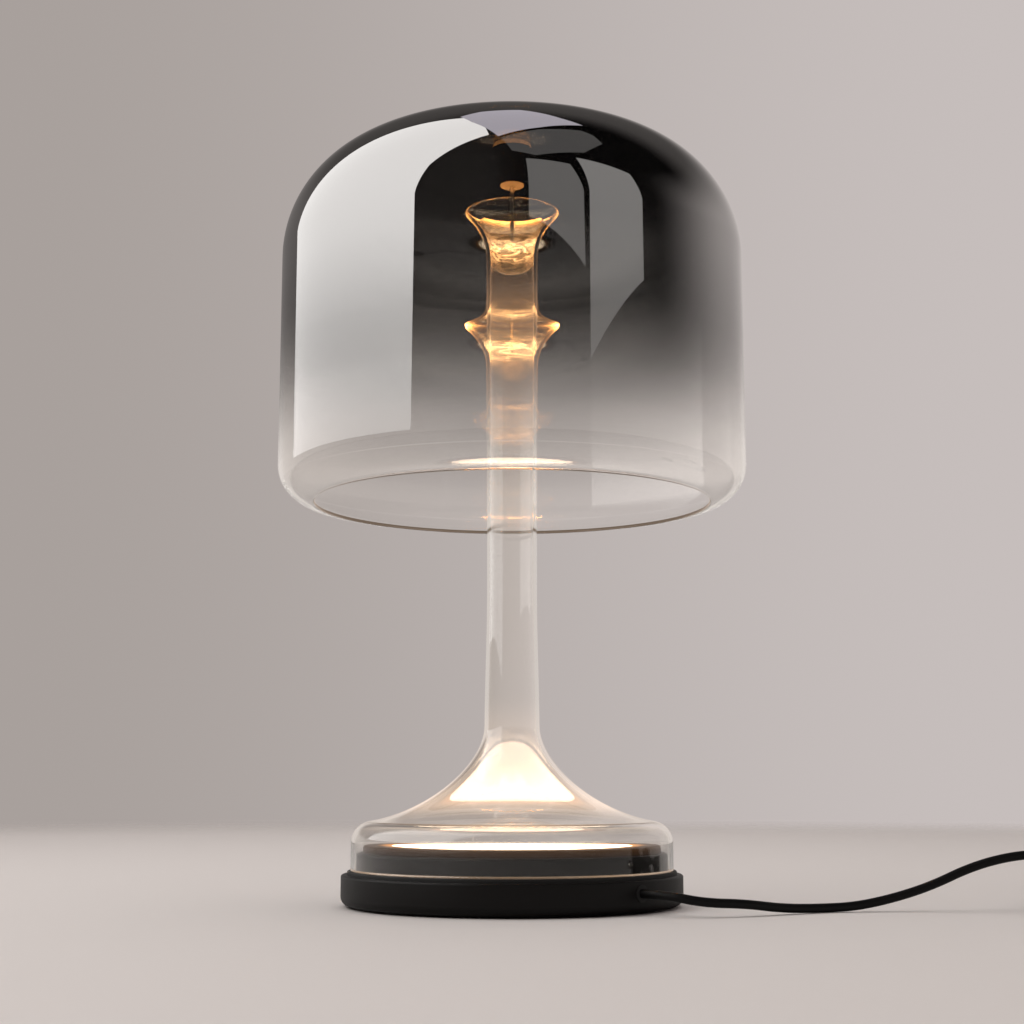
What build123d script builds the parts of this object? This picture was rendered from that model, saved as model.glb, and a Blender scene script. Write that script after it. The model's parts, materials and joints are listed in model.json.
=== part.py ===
from build123d import *
import os
from math import cos, hypot, pi, radians, sin, sqrt, tan

# Bedside lamp: a black weighted base with a round LED module, a clear blown stem that stands over
# the module like a bell, and a mirror-tinted glass dome that rests on a holder in the stem's mouth.
# Millimetres. The lamp's axis is Z, the table is Z = 0, and -Y is the front.

# Clearances
RUN_GAP = 0.3        # between pieces on different bodies, and loose glass
FIT_GAP = 0.05       # round a screw, pin or sleeve in its own hole
DROP_GAP = 0.3       # round a plate or board in its recess

# Ring pad that the lamp stands on, and the bottom plate with its countersunk screws
PAD_T = 1.4
PAD_W = 10.0
PAD_INSET = 6.0              # from the plate's screws
PLATE_T = 2.0
PLATE_LAP = 4.0              # how far the plate laps under the housing's wall
FLAT_SCREW_R = 1.5
FLAT_HEAD_R = 2.9
FLAT_HEAD_H = 1.4
BOTTOM_SCREW_L = 9.0

# Base housing
BASE_R = 95.5
BASE_LIFT = 0.8              # gap between the housing and the table
BASE_WALL = 11.5
CAVITY_H = 11.6
ROOF_T = 2.6
BASE_EDGE = 5.0
BASE_TOP_EDGE = 1.2
WIRE_HOLE_R = 6.0
BOSS_R = 4.5
BOSS_INSET = 7.0
BOSS_ANGLES = (0, 90, 180, 270)

# Steel weight, a ring with a gap for the cord's fittings
WEIGHT_CLEAR = 1.5
WEIGHT_IN_R = 42.0
WEIGHT_H = 8.0
WEIGHT_GAP = 52.0
WEIGHT_SCREW_ANGLES = (45, 135, 225)
WEIGHT_SCREW_INSET = 4.5     # from the ring pad
WEIGHT_SCREW_L = 7.0

# Cord entry, through the side of the base
CORD_D = 4.8
ENTRY_ANGLE = -45.0
ENTRY_DOWN = 4.0             # from the cavity's roof
GLAND_WALL = 1.2
GLAND_LIP_W = 0.9
GLAND_LIP_SINK = 0.9
GLAND_LIP_PROUD = 0.6
GLAND_SLEEVE = 3.6           # how far the sleeve stands into the cavity
GLAND_TAIL = 9.0
CLAMP_INSET = 21.0
CLAMP_T = 7.0
CLAMP_W = 24.0
CLAMP_SPLIT = 0.6
CLAMP_BAR_T = 2.6
CLAMP_SCREW_APART = 15.0
CLAMP_SCREW_L = 8.0
TERMINAL_SPACE = 6.0         # between the clamp and the terminal block
TERMINAL_T = 13.0
TERMINAL_W = 22.0
TERMINAL_H = 9.4
TERMINAL_SCREW_R = 2.0
TERMINAL_SCREW_H = 2.4
TERMINAL_WELL = 3.4
POLE_APART = 9.0
BLOCK_EDGE = 1.0

# LED driver and its leads
DRIVER_W = 34.0
DRIVER_L = 58.0
DRIVER_H = 9.0
DRIVER_CORNER = 3.0
LEAD_R = 0.9
MAINS_LEAD_UP = 4.2
LED_LEAD_APART = 5.0

# Stem, one blown piece: foot wall, bell shoulder, flare, tube and trumpet mouth
GLASS_T = 2.0
FOOT_INSET = 5.3             # from the base's side to the glass
SHOULDER_BEND = 12.0
SHOULDER_DROP = 9.3          # degrees that the shoulder falls outwards
BELL_H = 27.0
FLARE_REACH = 33.4
FLARE_H = 53.4
NECK_R = 15.6
NECK_REACH = 22.0
TAPER_H = 80.0
TAPER_REACH = 30.0
TUBE_R = 14.3
TUBE_L = 192.0
TUBE_TOP_R = 15.0
MOUTH_R = 28.0
MOUTH_H = 31.0
MOUTH_REACH = 12.0
MOUTH_REACH_OUT = 15.2
MOUTH_RISE = 46.0            # degrees that the mouth's lip rises outwards

# Seat ring under the glass foot
SEAT_T = 2.0
SEAT_LEDGE = 1.8             # how far it stands out from the glass
SEAT_EDGE = 0.6

# LED module on top of the base, inside the glass foot
SINK_CLEAR = 1.2
SINK_FLOOR = 6.4
SINK_RIM = 5.5
SINK_EDGE = 1.4
BOARD_INSET = 2.0
BOARD_T = 1.6
CHIP_SIDE = 3.0
CHIP_H = 0.8
CHIP_RING_STEP = 17.0
CHIP_COUNT = 6               # more in each ring than in the one inside it
PAN_SCREW_R = 1.5
PAN_HEAD_R = 2.8
PAN_HEAD_H = 2.0
BOARD_SCREW_INSET = 5.0
BOARD_SCREW_ANGLES = (30, 150, 270)
BOARD_SCREW_L = 5.0
MODULE_SCREW_CIRCLE = 30.0
MODULE_SCREW_ANGLES = (-85, -5, 95, 175)
MODULE_SCREW_L = 6.6
DIFFUSER_FLANGE_W = 2.8
DIFFUSER_FLANGE_T = 1.8
DIFFUSER_PROUD = 1.9
BEZEL_STEP = 3.7             # in from the heat sink's side
BEZEL_W = 15.7
BEZEL_H = 4.0
BEZEL_EDGE = 1.4
BEZEL_SCREW_INSET = 6.2
BEZEL_SCREW_ANGLES = (45, 135, 225, 315)
BEZEL_SCREW_SINK = 3.0
BEZEL_SCREW_GRIP = 2.4

# Holder in the mouth, which carries the dome
PLUG_DOME = 6.0
PLUG_SHARE = 0.75            # share of the mouth's curve that the plug fills
POST_LOWER_R = 1.9
POST_UPPER_R = 7.4
SPACER_ABOVE = 16.6          # the mouth's lip
SPACER_R = 7.0
SPACER_T = 1.4
POST_UPPER_L = 17.6
HEAD_LOW_R = 9.0
HEAD_R = 12.0
HEAD_H = 5.0
STUD_R = 1.2
STUD_IN_PLUG = 11.0
STUD_IN_HEAD = 3.4
HOLDER_PAD_T = 3.1
HOLDER_PAD_INSET = 0.5

# Dome
DOME_R = 135.0
DOME_H = 222.5
DOME_T = 2.0
CROWN_R = 322.0
DOME_SHOULDER_R = 70.0
RIM_BEND = 21.2

# In-line rocker switch on the cord; its long side lies along Y
SWITCH_X = 430.0
SWITCH_Y = 66.0
SWITCH_W = 27.0
SWITCH_L = 62.0
SWITCH_BASE_H = 9.0
SWITCH_COVER_H = 9.0
SWITCH_CORNER = 9.0
SWITCH_EDGE = 2.4
SWITCH_WALL = 1.8
SWITCH_SCREW_INSET_X = 4.9
SWITCH_SCREW_INSET_Y = 10.5
SWITCH_SCREW_GRIP = 1.5
SWITCH_BOSS_R = 3.2
ROCKER_W = 10.4
ROCKER_L = 20.0
ROCKER_SKIRT = 2.4           # its underside above the pin
ROCKER_PROUD = 2.4           # its ends above the cover, before it tips
ROCKER_DIP = 1.6
ROCKER_PIVOT_DOWN = 5.4
ROCKER_HUB_WALL = 1.6
ROCKER_TILT = 6.0
ROCKER_WINDOW_GAP = 0.9
PIN_R = 1.0
LUG_T = 2.0
LUG_WALL = 1.8
SWITCH_RELIEF_L = 18.0
RELIEF_WALL = 1.8
RELIEF_TIP_WALL = 0.5
RELIEF_FLANGE_W = 1.2
RELIEF_FLANGE_T = 2.0
STRIP_W = 4.0
STRIP_T = 0.8
STRIP_NEAR = 4.0
LEAF_UP = 1.2
LEAF_T = 0.5
LEAF_FOOT = 3.0

# Plug, a two-pin contour plug that lies on its flat side with its pins towards -Y
PLUG_X = 309.0
PLUG_FACE_Y = -53.0
PLUG_W = 36.0
PLUG_H = 27.0
PLUG_CORNER = 9.0
PLUG_L = 30.0
PLUG_TAPER_L = 16.0
PLUG_NECK_W = 14.0
PLUG_NECK_H = 13.0
PLUG_EDGE = 1.5
PLUG_PIN_R = 2.4
PLUG_PIN_L = 19.0
PLUG_PIN_APART = 19.0
PLUG_PIN_SINK = 8.0
PLUG_RELIEF_L = 24.0
PLUG_RELIEF_WALL = 3.2
PLUG_RELIEF_GROOVES = 4
PLUG_GROOVE_T = 1.6
PLUG_GROOVE_DEEP = 0.9

# Coil of put-away cord: two layers, wound in and out again, held by a strap
COIL_X = 391.4
COIL_Y = 156.0
COIL_IN_R = 20.0
COIL_GAP = 1.4               # between turns of a layer
COIL_LAYER_GAP = 0.5
COIL_TURNS_A_LAYER = 3
COIL_CLIMB_TURNS = 0.5
STRAP_T = 1.0
STRAP_W = 10.0
STRAP_EDGE = 0.45

# Sizes that follow from those above, from the table up
CORD_R = CORD_D / 2
PLATE_TOP = PAD_T + PLATE_T
CAVITY_TOP = PLATE_TOP + CAVITY_H
BASE_TOP = CAVITY_TOP + ROOF_T
CAVITY_R = BASE_R - BASE_WALL
PLATE_R = CAVITY_R + PLATE_LAP
BOSS_CIRCLE = CAVITY_R - BOSS_INSET
PAD_OUT_R = BOSS_CIRCLE - PAD_INSET
PAD_IN_R = PAD_OUT_R - PAD_W
WEIGHT_OUT_R = BOSS_CIRCLE - BOSS_R - WEIGHT_CLEAR
WEIGHT_SCREW_CIRCLE = PAD_IN_R - WEIGHT_SCREW_INSET
DRIVER_TOP = PLATE_TOP + DRIVER_H

ENTRY_Z = CAVITY_TOP - ENTRY_DOWN
ENTRY_FACE = BASE_R + GLAND_LIP_PROUD
GLAND_R = CORD_R + GLAND_WALL
GLAND_LIP_R = GLAND_R + GLAND_LIP_W
CLAMP_AT = CAVITY_R - CLAMP_INSET
CLAMP_TOP = ENTRY_Z + CLAMP_SPLIT + CLAMP_BAR_T
TERMINAL_AT = CLAMP_AT - CLAMP_T / 2 - TERMINAL_SPACE - TERMINAL_T / 2

FOOT_R = BASE_R - FOOT_INSET
SEAT_TOP = BASE_TOP + SEAT_T
SEAT_OUT_R = FOOT_R + SEAT_LEDGE
BELL_Z = SEAT_TOP + BELL_H
NECK_Z = BELL_Z + FLARE_H
TUBE_Z = NECK_Z + TAPER_H
MOUTH_Z = TUBE_Z + TUBE_L
STEM_TOP = MOUTH_Z + MOUTH_H

SINK_R = FOOT_R - GLASS_T - SINK_CLEAR
BOARD_SEAT = BASE_TOP + SINK_FLOOR
BOARD_TOP = BOARD_SEAT + BOARD_T
SINK_TOP = BOARD_SEAT + SINK_RIM
BEZEL_R = SINK_R - BEZEL_STEP
BEZEL_TOP = SINK_TOP + BEZEL_H
BEZEL_SCREW_CIRCLE = BEZEL_R - BEZEL_SCREW_INSET
DIFFUSER_R = BEZEL_R - BEZEL_W
DIFFUSER_FLANGE_R = DIFFUSER_R + DIFFUSER_FLANGE_W
BOARD_R = DIFFUSER_R - BOARD_INSET
BOARD_SCREW_CIRCLE = BOARD_R - BOARD_SCREW_INSET
CHIP_RINGS = int((BOARD_SCREW_CIRCLE - PAN_HEAD_R - CHIP_SIDE) // CHIP_RING_STEP)

SWITCH_SPLIT = SWITCH_BASE_H
SWITCH_TOP = SWITCH_BASE_H + SWITCH_COVER_H
SWITCH_SCREW_X = SWITCH_W / 2 - SWITCH_SCREW_INSET_X
SWITCH_SCREW_Y = SWITCH_L / 2 - SWITCH_SCREW_INSET_Y
SWITCH_SCREW_L = SWITCH_BASE_H + SWITCH_SCREW_GRIP
ROCKER_PIVOT_Z = SWITCH_TOP - ROCKER_PIVOT_DOWN
ROCKER_HUB_R = PIN_R + ROCKER_HUB_WALL
LUG_R = PIN_R + LUG_WALL
RELIEF_R = CORD_R + RELIEF_WALL
RELIEF_TIP_R = CORD_R + RELIEF_TIP_WALL
RELIEF_FLANGE_R = RELIEF_R + RELIEF_FLANGE_W
RELIEF_IN = SWITCH_L / 2 - SWITCH_WALL - RELIEF_FLANGE_T - FIT_GAP
STRIP_TOP = SWITCH_WALL + STRIP_T
LEAF_Z = STRIP_TOP + LEAF_UP

PLUG_Z = PLUG_H / 2
PLUG_RELIEF_R = CORD_R + PLUG_RELIEF_WALL
PLUG_TAIL_Y = PLUG_FACE_Y + PLUG_L + PLUG_TAPER_L

COIL_PITCH = CORD_D + COIL_GAP
COIL_LOW_Z = STRAP_T + RUN_GAP + CORD_R
COIL_LAYER_STEP = CORD_D + COIL_LAYER_GAP
COIL_HIGH_Z = COIL_LOW_Z + COIL_LAYER_STEP
COIL_OUT_R = COIL_IN_R + COIL_PITCH * COIL_TURNS_A_LAYER
COIL_TURNS = 2 * COIL_TURNS_A_LAYER + COIL_CLIMB_TURNS

# Local frames: ENTRY looks outwards along the cord's way through the base, and its Y is up
ENTRY = Plane(
    origin=(0, 0, ENTRY_Z),
    x_dir=(-sin(radians(ENTRY_ANGLE)), cos(radians(ENTRY_ANGLE)), 0),
    z_dir=(cos(radians(ENTRY_ANGLE)), sin(radians(ENTRY_ANGLE)), 0),
)
SWITCH = Pos(SWITCH_X, SWITCH_Y, 0)
LOW = (Align.CENTER, Align.CENTER, Align.MIN)

# Cord routes, chosen along the way that the cord lies. It leaves the base, comes down to the table,
# passes over its own plug in a low hump and goes into the switch.
ENTRY_POINT = ENTRY * Pos(0, 0, ENTRY_FACE)
SUPPLY_ROUTE = [
    tuple(ENTRY_POINT.position),
    (79, -79, ENTRY_Z),
    (98, -84.5, 7.5),
    (120, -77, 6.5),
    (141, -64, 3.3),
    (162, -52, 2.4),
    (183, -45, 2.9),
    (204, -42, 7),
    (225, -41, 13.5),
    (246, -41, 23.2),
    (268, -41, 29.1),
    (290, -40, 30.4),
    (322, -38, 30.4),
    (351, -37.5, 28),
    (379, -35, 22.5),
    (404, -29, 16),
    (421.5, -17, 11.5),
    (SWITCH_X, 0, SWITCH_SPLIT),
    (SWITCH_X, SWITCH_Y - SWITCH_L / 2 - SWITCH_RELIEF_L, SWITCH_SPLIT),
]
LINK_ROUTE = [
    (SWITCH_X, SWITCH_Y + SWITCH_L / 2 + SWITCH_RELIEF_L, SWITCH_SPLIT),
    (SWITCH_X, 127, SWITCH_SPLIT),
    (COIL_X + COIL_OUT_R, 140, COIL_LOW_Z),
    (COIL_X + COIL_OUT_R, COIL_Y - CORD_D, COIL_LOW_Z),
]
PLUG_ROUTE = [
    (COIL_X - COIL_OUT_R, COIL_Y - CORD_D, COIL_HIGH_Z),
    (COIL_X - COIL_OUT_R, 139, COIL_HIGH_Z),
    (351, 122, 5),
    (346, 103, 2.6),
    (337.5, 84, 2.5),
    (326.5, 66, 5),
    (316, 49, 10),
    (PLUG_X, 32, PLUG_Z),
    (PLUG_X, PLUG_TAIL_Y + PLUG_RELIEF_L, PLUG_Z),
]


# Shared shapes

def lathe(*edges):
    """Turn a closed outline, drawn as radius and height, about the lamp's axis."""
    return revolve(Plane.XZ * make_face(edges), Axis.Z)


def disc(radius, low, high):
    return Pos(0, 0, low) * Cylinder(radius, high - low, align=LOW)


def washer(outer, inner, low, high):
    return disc(outer, low, high) - disc(inner, low, high)


def soften(part, radius, height, size):
    """Round the circular edge of that radius at that height."""
    rims = [
        edge for edge in part.edges().filter_by(GeomType.CIRCLE)
        if abs(edge.radius - radius) < 0.01 and abs(edge.arc_center.Z - height) < 0.01
    ]
    return fillet(rims, size)


def around(circle, angles, shape):
    """Copies of a shape on a circle about the lamp's axis."""
    return [Rot(0, 0, angle) * Pos(circle, 0, 0) * shape for angle in angles]


def flat_screw(length, gap=0.0):
    """Countersunk screw with its head's face at Z = 0 and its shank towards +Z."""
    shank = FLAT_SCREW_R + gap
    head = FLAT_HEAD_R + gap
    outline = Polyline(
        (0, 0), (head, 0), (shank, FLAT_HEAD_H), (shank, length), (0, length), close=True
    )
    return lathe(outline)


def pan_screw(length):
    """Pan-head screw with the underside of its head at Z = 0 and its shank towards +Z."""
    screw = disc(PAN_HEAD_R, -PAN_HEAD_H, 0) + disc(PAN_SCREW_R, 0, length)
    return soften(screw, PAN_HEAD_R, -PAN_HEAD_H, PAN_HEAD_H / 2)


def offset_line(points, gap):
    """Move a curve's control points to the left of its way by a gap."""
    moved = []
    for i, (x, z) in enumerate(points):
        before = points[max(i - 1, 0)]
        after = points[min(i + 1, len(points) - 1)]
        run = hypot(after[0] - before[0], after[1] - before[1])
        moved.append((x - gap * (after[1] - before[1]) / run, z + gap * (after[0] - before[0]) / run))
    return moved


def first_share(points, share):
    """Control points of the first share of a Bezier curve."""
    kept = [points[0]]
    while len(points) > 1:
        points = [
            (a[0] + share * (b[0] - a[0]), a[1] + share * (b[1] - a[1]))
            for a, b in zip(points, points[1:])
        ]
        kept.append(points[0])
    return kept


def rounded_end(tip, back, other):
    """Half-round edge from a wall's tip to its other face, beyond the end of the wall's curve."""
    run = hypot(tip[0] - back[0], tip[1] - back[1])
    bulge = hypot(tip[0] - other[0], tip[1] - other[1]) / 2
    middle = (
        (tip[0] + other[0]) / 2 + bulge * (tip[0] - back[0]) / run,
        (tip[1] + other[1]) / 2 + bulge * (tip[1] - back[1]) / run,
    )
    return ThreePointArc(tip, middle, other)


# Base

def make_base_housing():
    housing = disc(BASE_R, BASE_LIFT, BASE_TOP)
    housing = soften(housing, BASE_R, BASE_LIFT, BASE_EDGE)
    housing = soften(housing, BASE_R, BASE_TOP, BASE_TOP_EDGE)
    housing -= disc(PLATE_R + DROP_GAP, 0, PLATE_TOP)
    housing -= disc(CAVITY_R, 0, CAVITY_TOP)
    housing += around(BOSS_CIRCLE, BOSS_ANGLES, disc(BOSS_R, PLATE_TOP, CAVITY_TOP))
    screw_hole = disc(FLAT_SCREW_R + FIT_GAP, 0, PAD_T + BOTTOM_SCREW_L + DROP_GAP)
    housing -= around(BOSS_CIRCLE, BOSS_ANGLES, screw_hole)
    housing -= disc(WIRE_HOLE_R, CAVITY_TOP, BASE_TOP)
    module_hole = disc(PAN_SCREW_R + FIT_GAP, CAVITY_TOP, BASE_TOP)
    housing -= around(MODULE_SCREW_CIRCLE, MODULE_SCREW_ANGLES, module_hole)
    housing -= ENTRY * disc(GLAND_R + FIT_GAP, CAVITY_R - GLAND_SLEEVE, BASE_R)
    housing -= ENTRY * disc(GLAND_LIP_R + FIT_GAP, BASE_R - GLAND_LIP_SINK, BASE_R + GLAND_LIP_R)
    return housing


def make_bottom_plate():
    plate = disc(PLATE_R, PAD_T, PLATE_TOP)
    hole = Pos(0, 0, PAD_T) * flat_screw(PLATE_T, FIT_GAP)
    plate -= around(BOSS_CIRCLE, BOSS_ANGLES, hole)
    plate -= around(WEIGHT_SCREW_CIRCLE, WEIGHT_SCREW_ANGLES, hole)
    return plate


def make_foot_pad():
    return washer(PAD_OUT_R, PAD_IN_R, 0, PAD_T)


def make_bottom_screws():
    return around(BOSS_CIRCLE, BOSS_ANGLES, Pos(0, 0, PAD_T) * flat_screw(BOTTOM_SCREW_L))


def make_base_weight():
    weight = washer(WEIGHT_OUT_R, WEIGHT_IN_R, PLATE_TOP, PLATE_TOP + WEIGHT_H)
    weight -= Rot(0, 0, ENTRY_ANGLE) * Box(2 * WEIGHT_OUT_R, WEIGHT_GAP, 4 * WEIGHT_H,
                                           align=(Align.MIN, Align.CENTER, Align.CENTER))
    hole = disc(FLAT_SCREW_R + FIT_GAP, 0, PAD_T + WEIGHT_SCREW_L + DROP_GAP)
    weight -= around(WEIGHT_SCREW_CIRCLE, WEIGHT_SCREW_ANGLES, hole)
    return weight


def make_weight_screws():
    screw = Pos(0, 0, PAD_T) * flat_screw(WEIGHT_SCREW_L)
    return around(WEIGHT_SCREW_CIRCLE, WEIGHT_SCREW_ANGLES, screw)


# Cord entry

def make_cord_gland():
    sleeve_end = CAVITY_R - GLAND_SLEEVE
    gland = disc(GLAND_R, sleeve_end, BASE_R - GLAND_LIP_SINK)
    gland += disc(GLAND_LIP_R, BASE_R - GLAND_LIP_SINK, ENTRY_FACE)
    gland = soften(gland, GLAND_LIP_R, ENTRY_FACE, GLAND_LIP_PROUD / 2)
    tail_end = sleeve_end - GLAND_TAIL
    tail = Pos(0, 0, tail_end) * Cone((GLAND_R + CORD_R) / 2, GLAND_R, GLAND_TAIL, align=LOW)
    gland += tail
    return ENTRY * (gland - disc(CORD_R + FIT_GAP, tail_end, ENTRY_FACE))


def make_cord_tail():
    return ENTRY * disc(CORD_R, TERMINAL_AT + TERMINAL_T / 2, ENTRY_FACE)


def make_cord_saddle():
    high = ENTRY_Z - CLAMP_SPLIT - PLATE_TOP
    block = Pos(CLAMP_AT, 0, PLATE_TOP) * Box(CLAMP_T, CLAMP_W, high, align=LOW)
    block = fillet(block.edges().filter_by(Axis.Z), BLOCK_EDGE)
    screw_low = CLAMP_TOP - CLAMP_SCREW_L - DROP_GAP
    for side in (-1, 1):
        block -= Pos(CLAMP_AT, side * CLAMP_SCREW_APART / 2, 0) * disc(
            FLAT_SCREW_R + FIT_GAP, screw_low, ENTRY_Z)
    return Rot(0, 0, ENTRY_ANGLE) * block - ENTRY * disc(CORD_R + FIT_GAP, 0, BASE_R)


def make_clamp_bar():
    low = ENTRY_Z + CLAMP_SPLIT
    bar = Pos(CLAMP_AT, 0, low) * Box(CLAMP_T, CLAMP_W, CLAMP_BAR_T, align=LOW)
    bar = fillet(bar.edges().filter_by(Axis.Z), BLOCK_EDGE)
    hole = Pos(0, 0, CLAMP_TOP) * Rot(180, 0, 0) * flat_screw(CLAMP_BAR_T, FIT_GAP)
    for side in (-1, 1):
        bar -= Pos(CLAMP_AT, side * CLAMP_SCREW_APART / 2, 0) * hole
    return Rot(0, 0, ENTRY_ANGLE) * bar - ENTRY * disc(CORD_R + FIT_GAP, 0, BASE_R)


def make_clamp_screws():
    screw = Pos(0, 0, CLAMP_TOP) * Rot(180, 0, 0) * flat_screw(CLAMP_SCREW_L)
    return [
        Rot(0, 0, ENTRY_ANGLE) * Pos(CLAMP_AT, side * CLAMP_SCREW_APART / 2, 0) * screw
        for side in (-1, 1)
    ]


def make_terminal_block():
    block = Pos(TERMINAL_AT, 0, PLATE_TOP) * Box(TERMINAL_T, TERMINAL_W, TERMINAL_H, align=LOW)
    block = fillet(block.edges().filter_by(Axis.Z), BLOCK_EDGE)
    top = PLATE_TOP + TERMINAL_H
    for side in (-1, 1):
        block -= Pos(TERMINAL_AT, side * POLE_APART / 2, 0) * disc(
            TERMINAL_SCREW_R + FIT_GAP, top - TERMINAL_WELL, top)
    return Rot(0, 0, ENTRY_ANGLE) * block


def make_terminal_screws():
    low = PLATE_TOP + TERMINAL_H - TERMINAL_WELL
    screw = disc(TERMINAL_SCREW_R, low, low + TERMINAL_SCREW_H)
    return [
        Rot(0, 0, ENTRY_ANGLE) * Pos(TERMINAL_AT, side * POLE_APART / 2, 0) * screw
        for side in (-1, 1)
    ]


# LED driver and leads

def make_led_driver():
    case = Pos(0, 0, PLATE_TOP) * Box(DRIVER_W, DRIVER_L, DRIVER_H, align=LOW)
    return Rot(0, 0, ENTRY_ANGLE) * fillet(case.edges().filter_by(Axis.Z), DRIVER_CORNER)


def make_mains_leads():
    lift = PLATE_TOP + MAINS_LEAD_UP - ENTRY_Z
    return [
        ENTRY
        * Pos(side * POLE_APART / 2, lift, 0)
        * disc(LEAD_R, DRIVER_W / 2, TERMINAL_AT - TERMINAL_T / 2)
        for side in (-1, 1)
    ]


def make_led_leads():
    return [Pos(side * LED_LEAD_APART / 2, 0, 0) * disc(LEAD_R, DRIVER_TOP, BOARD_SEAT) for side in (-1, 1)]


# LED module

def make_heat_sink():
    sink = disc(SINK_R, BASE_TOP, SINK_TOP)
    sink = soften(sink, SINK_R, SINK_TOP, SINK_EDGE)
    sink -= disc(BOARD_R + DROP_GAP, BOARD_SEAT, SINK_TOP)
    sink -= disc(WIRE_HOLE_R, BASE_TOP, BOARD_SEAT)
    module_hole = disc(PAN_SCREW_R + FIT_GAP, BASE_TOP, CAVITY_TOP + MODULE_SCREW_L + DROP_GAP)
    sink -= around(MODULE_SCREW_CIRCLE, MODULE_SCREW_ANGLES, module_hole)
    board_hole = disc(PAN_SCREW_R + FIT_GAP, BOARD_TOP - BOARD_SCREW_L - DROP_GAP, BOARD_SEAT)
    sink -= around(BOARD_SCREW_CIRCLE, BOARD_SCREW_ANGLES, board_hole)
    bezel_hole = disc(PAN_HEAD_R + FIT_GAP, BASE_TOP, BASE_TOP + BEZEL_SCREW_SINK)
    bezel_hole += disc(PAN_SCREW_R + FIT_GAP, BASE_TOP, SINK_TOP)
    return sink - around(BEZEL_SCREW_CIRCLE, BEZEL_SCREW_ANGLES, bezel_hole)


def make_module_screws():
    screw = Pos(0, 0, CAVITY_TOP) * pan_screw(MODULE_SCREW_L)
    return around(MODULE_SCREW_CIRCLE, MODULE_SCREW_ANGLES, screw)


def make_led_board():
    board = disc(BOARD_R, BOARD_SEAT, BOARD_TOP)
    hole = disc(PAN_SCREW_R + FIT_GAP, BOARD_SEAT, BOARD_TOP)
    return board - around(BOARD_SCREW_CIRCLE, BOARD_SCREW_ANGLES, hole)


def make_led_chips():
    chip = Pos(0, 0, BOARD_TOP) * Box(CHIP_SIDE, CHIP_SIDE, CHIP_H, align=LOW)
    chips = []
    for ring in range(1, CHIP_RINGS + 1):
        count = CHIP_COUNT * ring
        chips += around(CHIP_RING_STEP * ring, [360 * i / count for i in range(count)], chip)
    return chips


def make_board_screws():
    screw = Pos(0, 0, BOARD_TOP) * Rot(180, 0, 0) * pan_screw(BOARD_SCREW_L)
    return around(BOARD_SCREW_CIRCLE, BOARD_SCREW_ANGLES, screw)


def make_diffuser():
    flange_top = SINK_TOP + DIFFUSER_FLANGE_T
    plate = disc(DIFFUSER_FLANGE_R, SINK_TOP, flange_top)
    plate += disc(DIFFUSER_R, flange_top, flange_top + DIFFUSER_PROUD)
    return soften(plate, DIFFUSER_R, flange_top + DIFFUSER_PROUD, DIFFUSER_PROUD / 3)


def make_bezel_ring():
    ring = washer(BEZEL_R, DIFFUSER_R + DROP_GAP, SINK_TOP, BEZEL_TOP)
    ring = soften(ring, BEZEL_R, BEZEL_TOP, BEZEL_EDGE)
    ring -= disc(DIFFUSER_FLANGE_R + DROP_GAP, SINK_TOP, SINK_TOP + DIFFUSER_FLANGE_T + FIT_GAP)
    hole = disc(PAN_SCREW_R + FIT_GAP, SINK_TOP, SINK_TOP + BEZEL_SCREW_GRIP + DROP_GAP)
    return ring - around(BEZEL_SCREW_CIRCLE, BEZEL_SCREW_ANGLES, hole)


def make_bezel_screws():
    head_face = BASE_TOP + BEZEL_SCREW_SINK
    screw = Pos(0, 0, head_face) * pan_screw(SINK_TOP + BEZEL_SCREW_GRIP - head_face)
    return around(BEZEL_SCREW_CIRCLE, BEZEL_SCREW_ANGLES, screw)


def make_seat_ring():
    ring = washer(SEAT_OUT_R, SINK_R + DROP_GAP, BASE_TOP, SEAT_TOP)
    return soften(ring, SEAT_OUT_R, SEAT_TOP, SEAT_EDGE)


# Glass stem

def stem_curves():
    """Control points of the stem's outer face, from the shoulder up: flare, taper and mouth."""
    drop = radians(SHOULDER_DROP)
    rise = radians(MOUTH_RISE)
    start = (FOOT_R - SHOULDER_BEND * (1 - sin(drop)), BELL_Z)
    flare = [
        start,
        (start[0] - FLARE_REACH * cos(drop), start[1] + FLARE_REACH * sin(drop)),
        (NECK_R, NECK_Z - NECK_REACH),
        (NECK_R, NECK_Z),
    ]
    taper = [
        (NECK_R, NECK_Z),
        (NECK_R, NECK_Z + NECK_REACH),
        (TUBE_R, TUBE_Z - TAPER_REACH),
        (TUBE_R, TUBE_Z),
    ]
    mouth = [
        (TUBE_TOP_R, MOUTH_Z),
        (TUBE_TOP_R, MOUTH_Z + MOUTH_REACH),
        (MOUTH_R - MOUTH_REACH_OUT * cos(rise), STEM_TOP - MOUTH_REACH_OUT * sin(rise)),
        (MOUTH_R, STEM_TOP),
    ]
    return flare, taper, mouth


def make_glass_stem():
    drop = radians(SHOULDER_DROP)
    bend_x = FOOT_R - SHOULDER_BEND
    bend_z = BELL_Z - SHOULDER_BEND * cos(drop)
    faces = []
    tips = []
    for depth in (0, GLASS_T):
        flare, taper, mouth = [offset_line(points, depth) for points in stem_curves()]
        wall_x = FOOT_R - depth
        faces += [
            Line((wall_x, SEAT_TOP), (wall_x, bend_z)),
            CenterArc((bend_x, bend_z), SHOULDER_BEND - depth, 0, 90 - SHOULDER_DROP),
            Bezier(*flare),
            Bezier(*taper),
            Line(taper[-1], mouth[0]),
            Bezier(*mouth),
        ]
        tips.append(mouth)
    lip = rounded_end(tips[0][-1], tips[0][-2], tips[1][-1])
    foot = Line((FOOT_R, SEAT_TOP), (FOOT_R - GLASS_T, SEAT_TOP))
    return lathe(*faces, lip, foot)


# Dome holder

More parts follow.
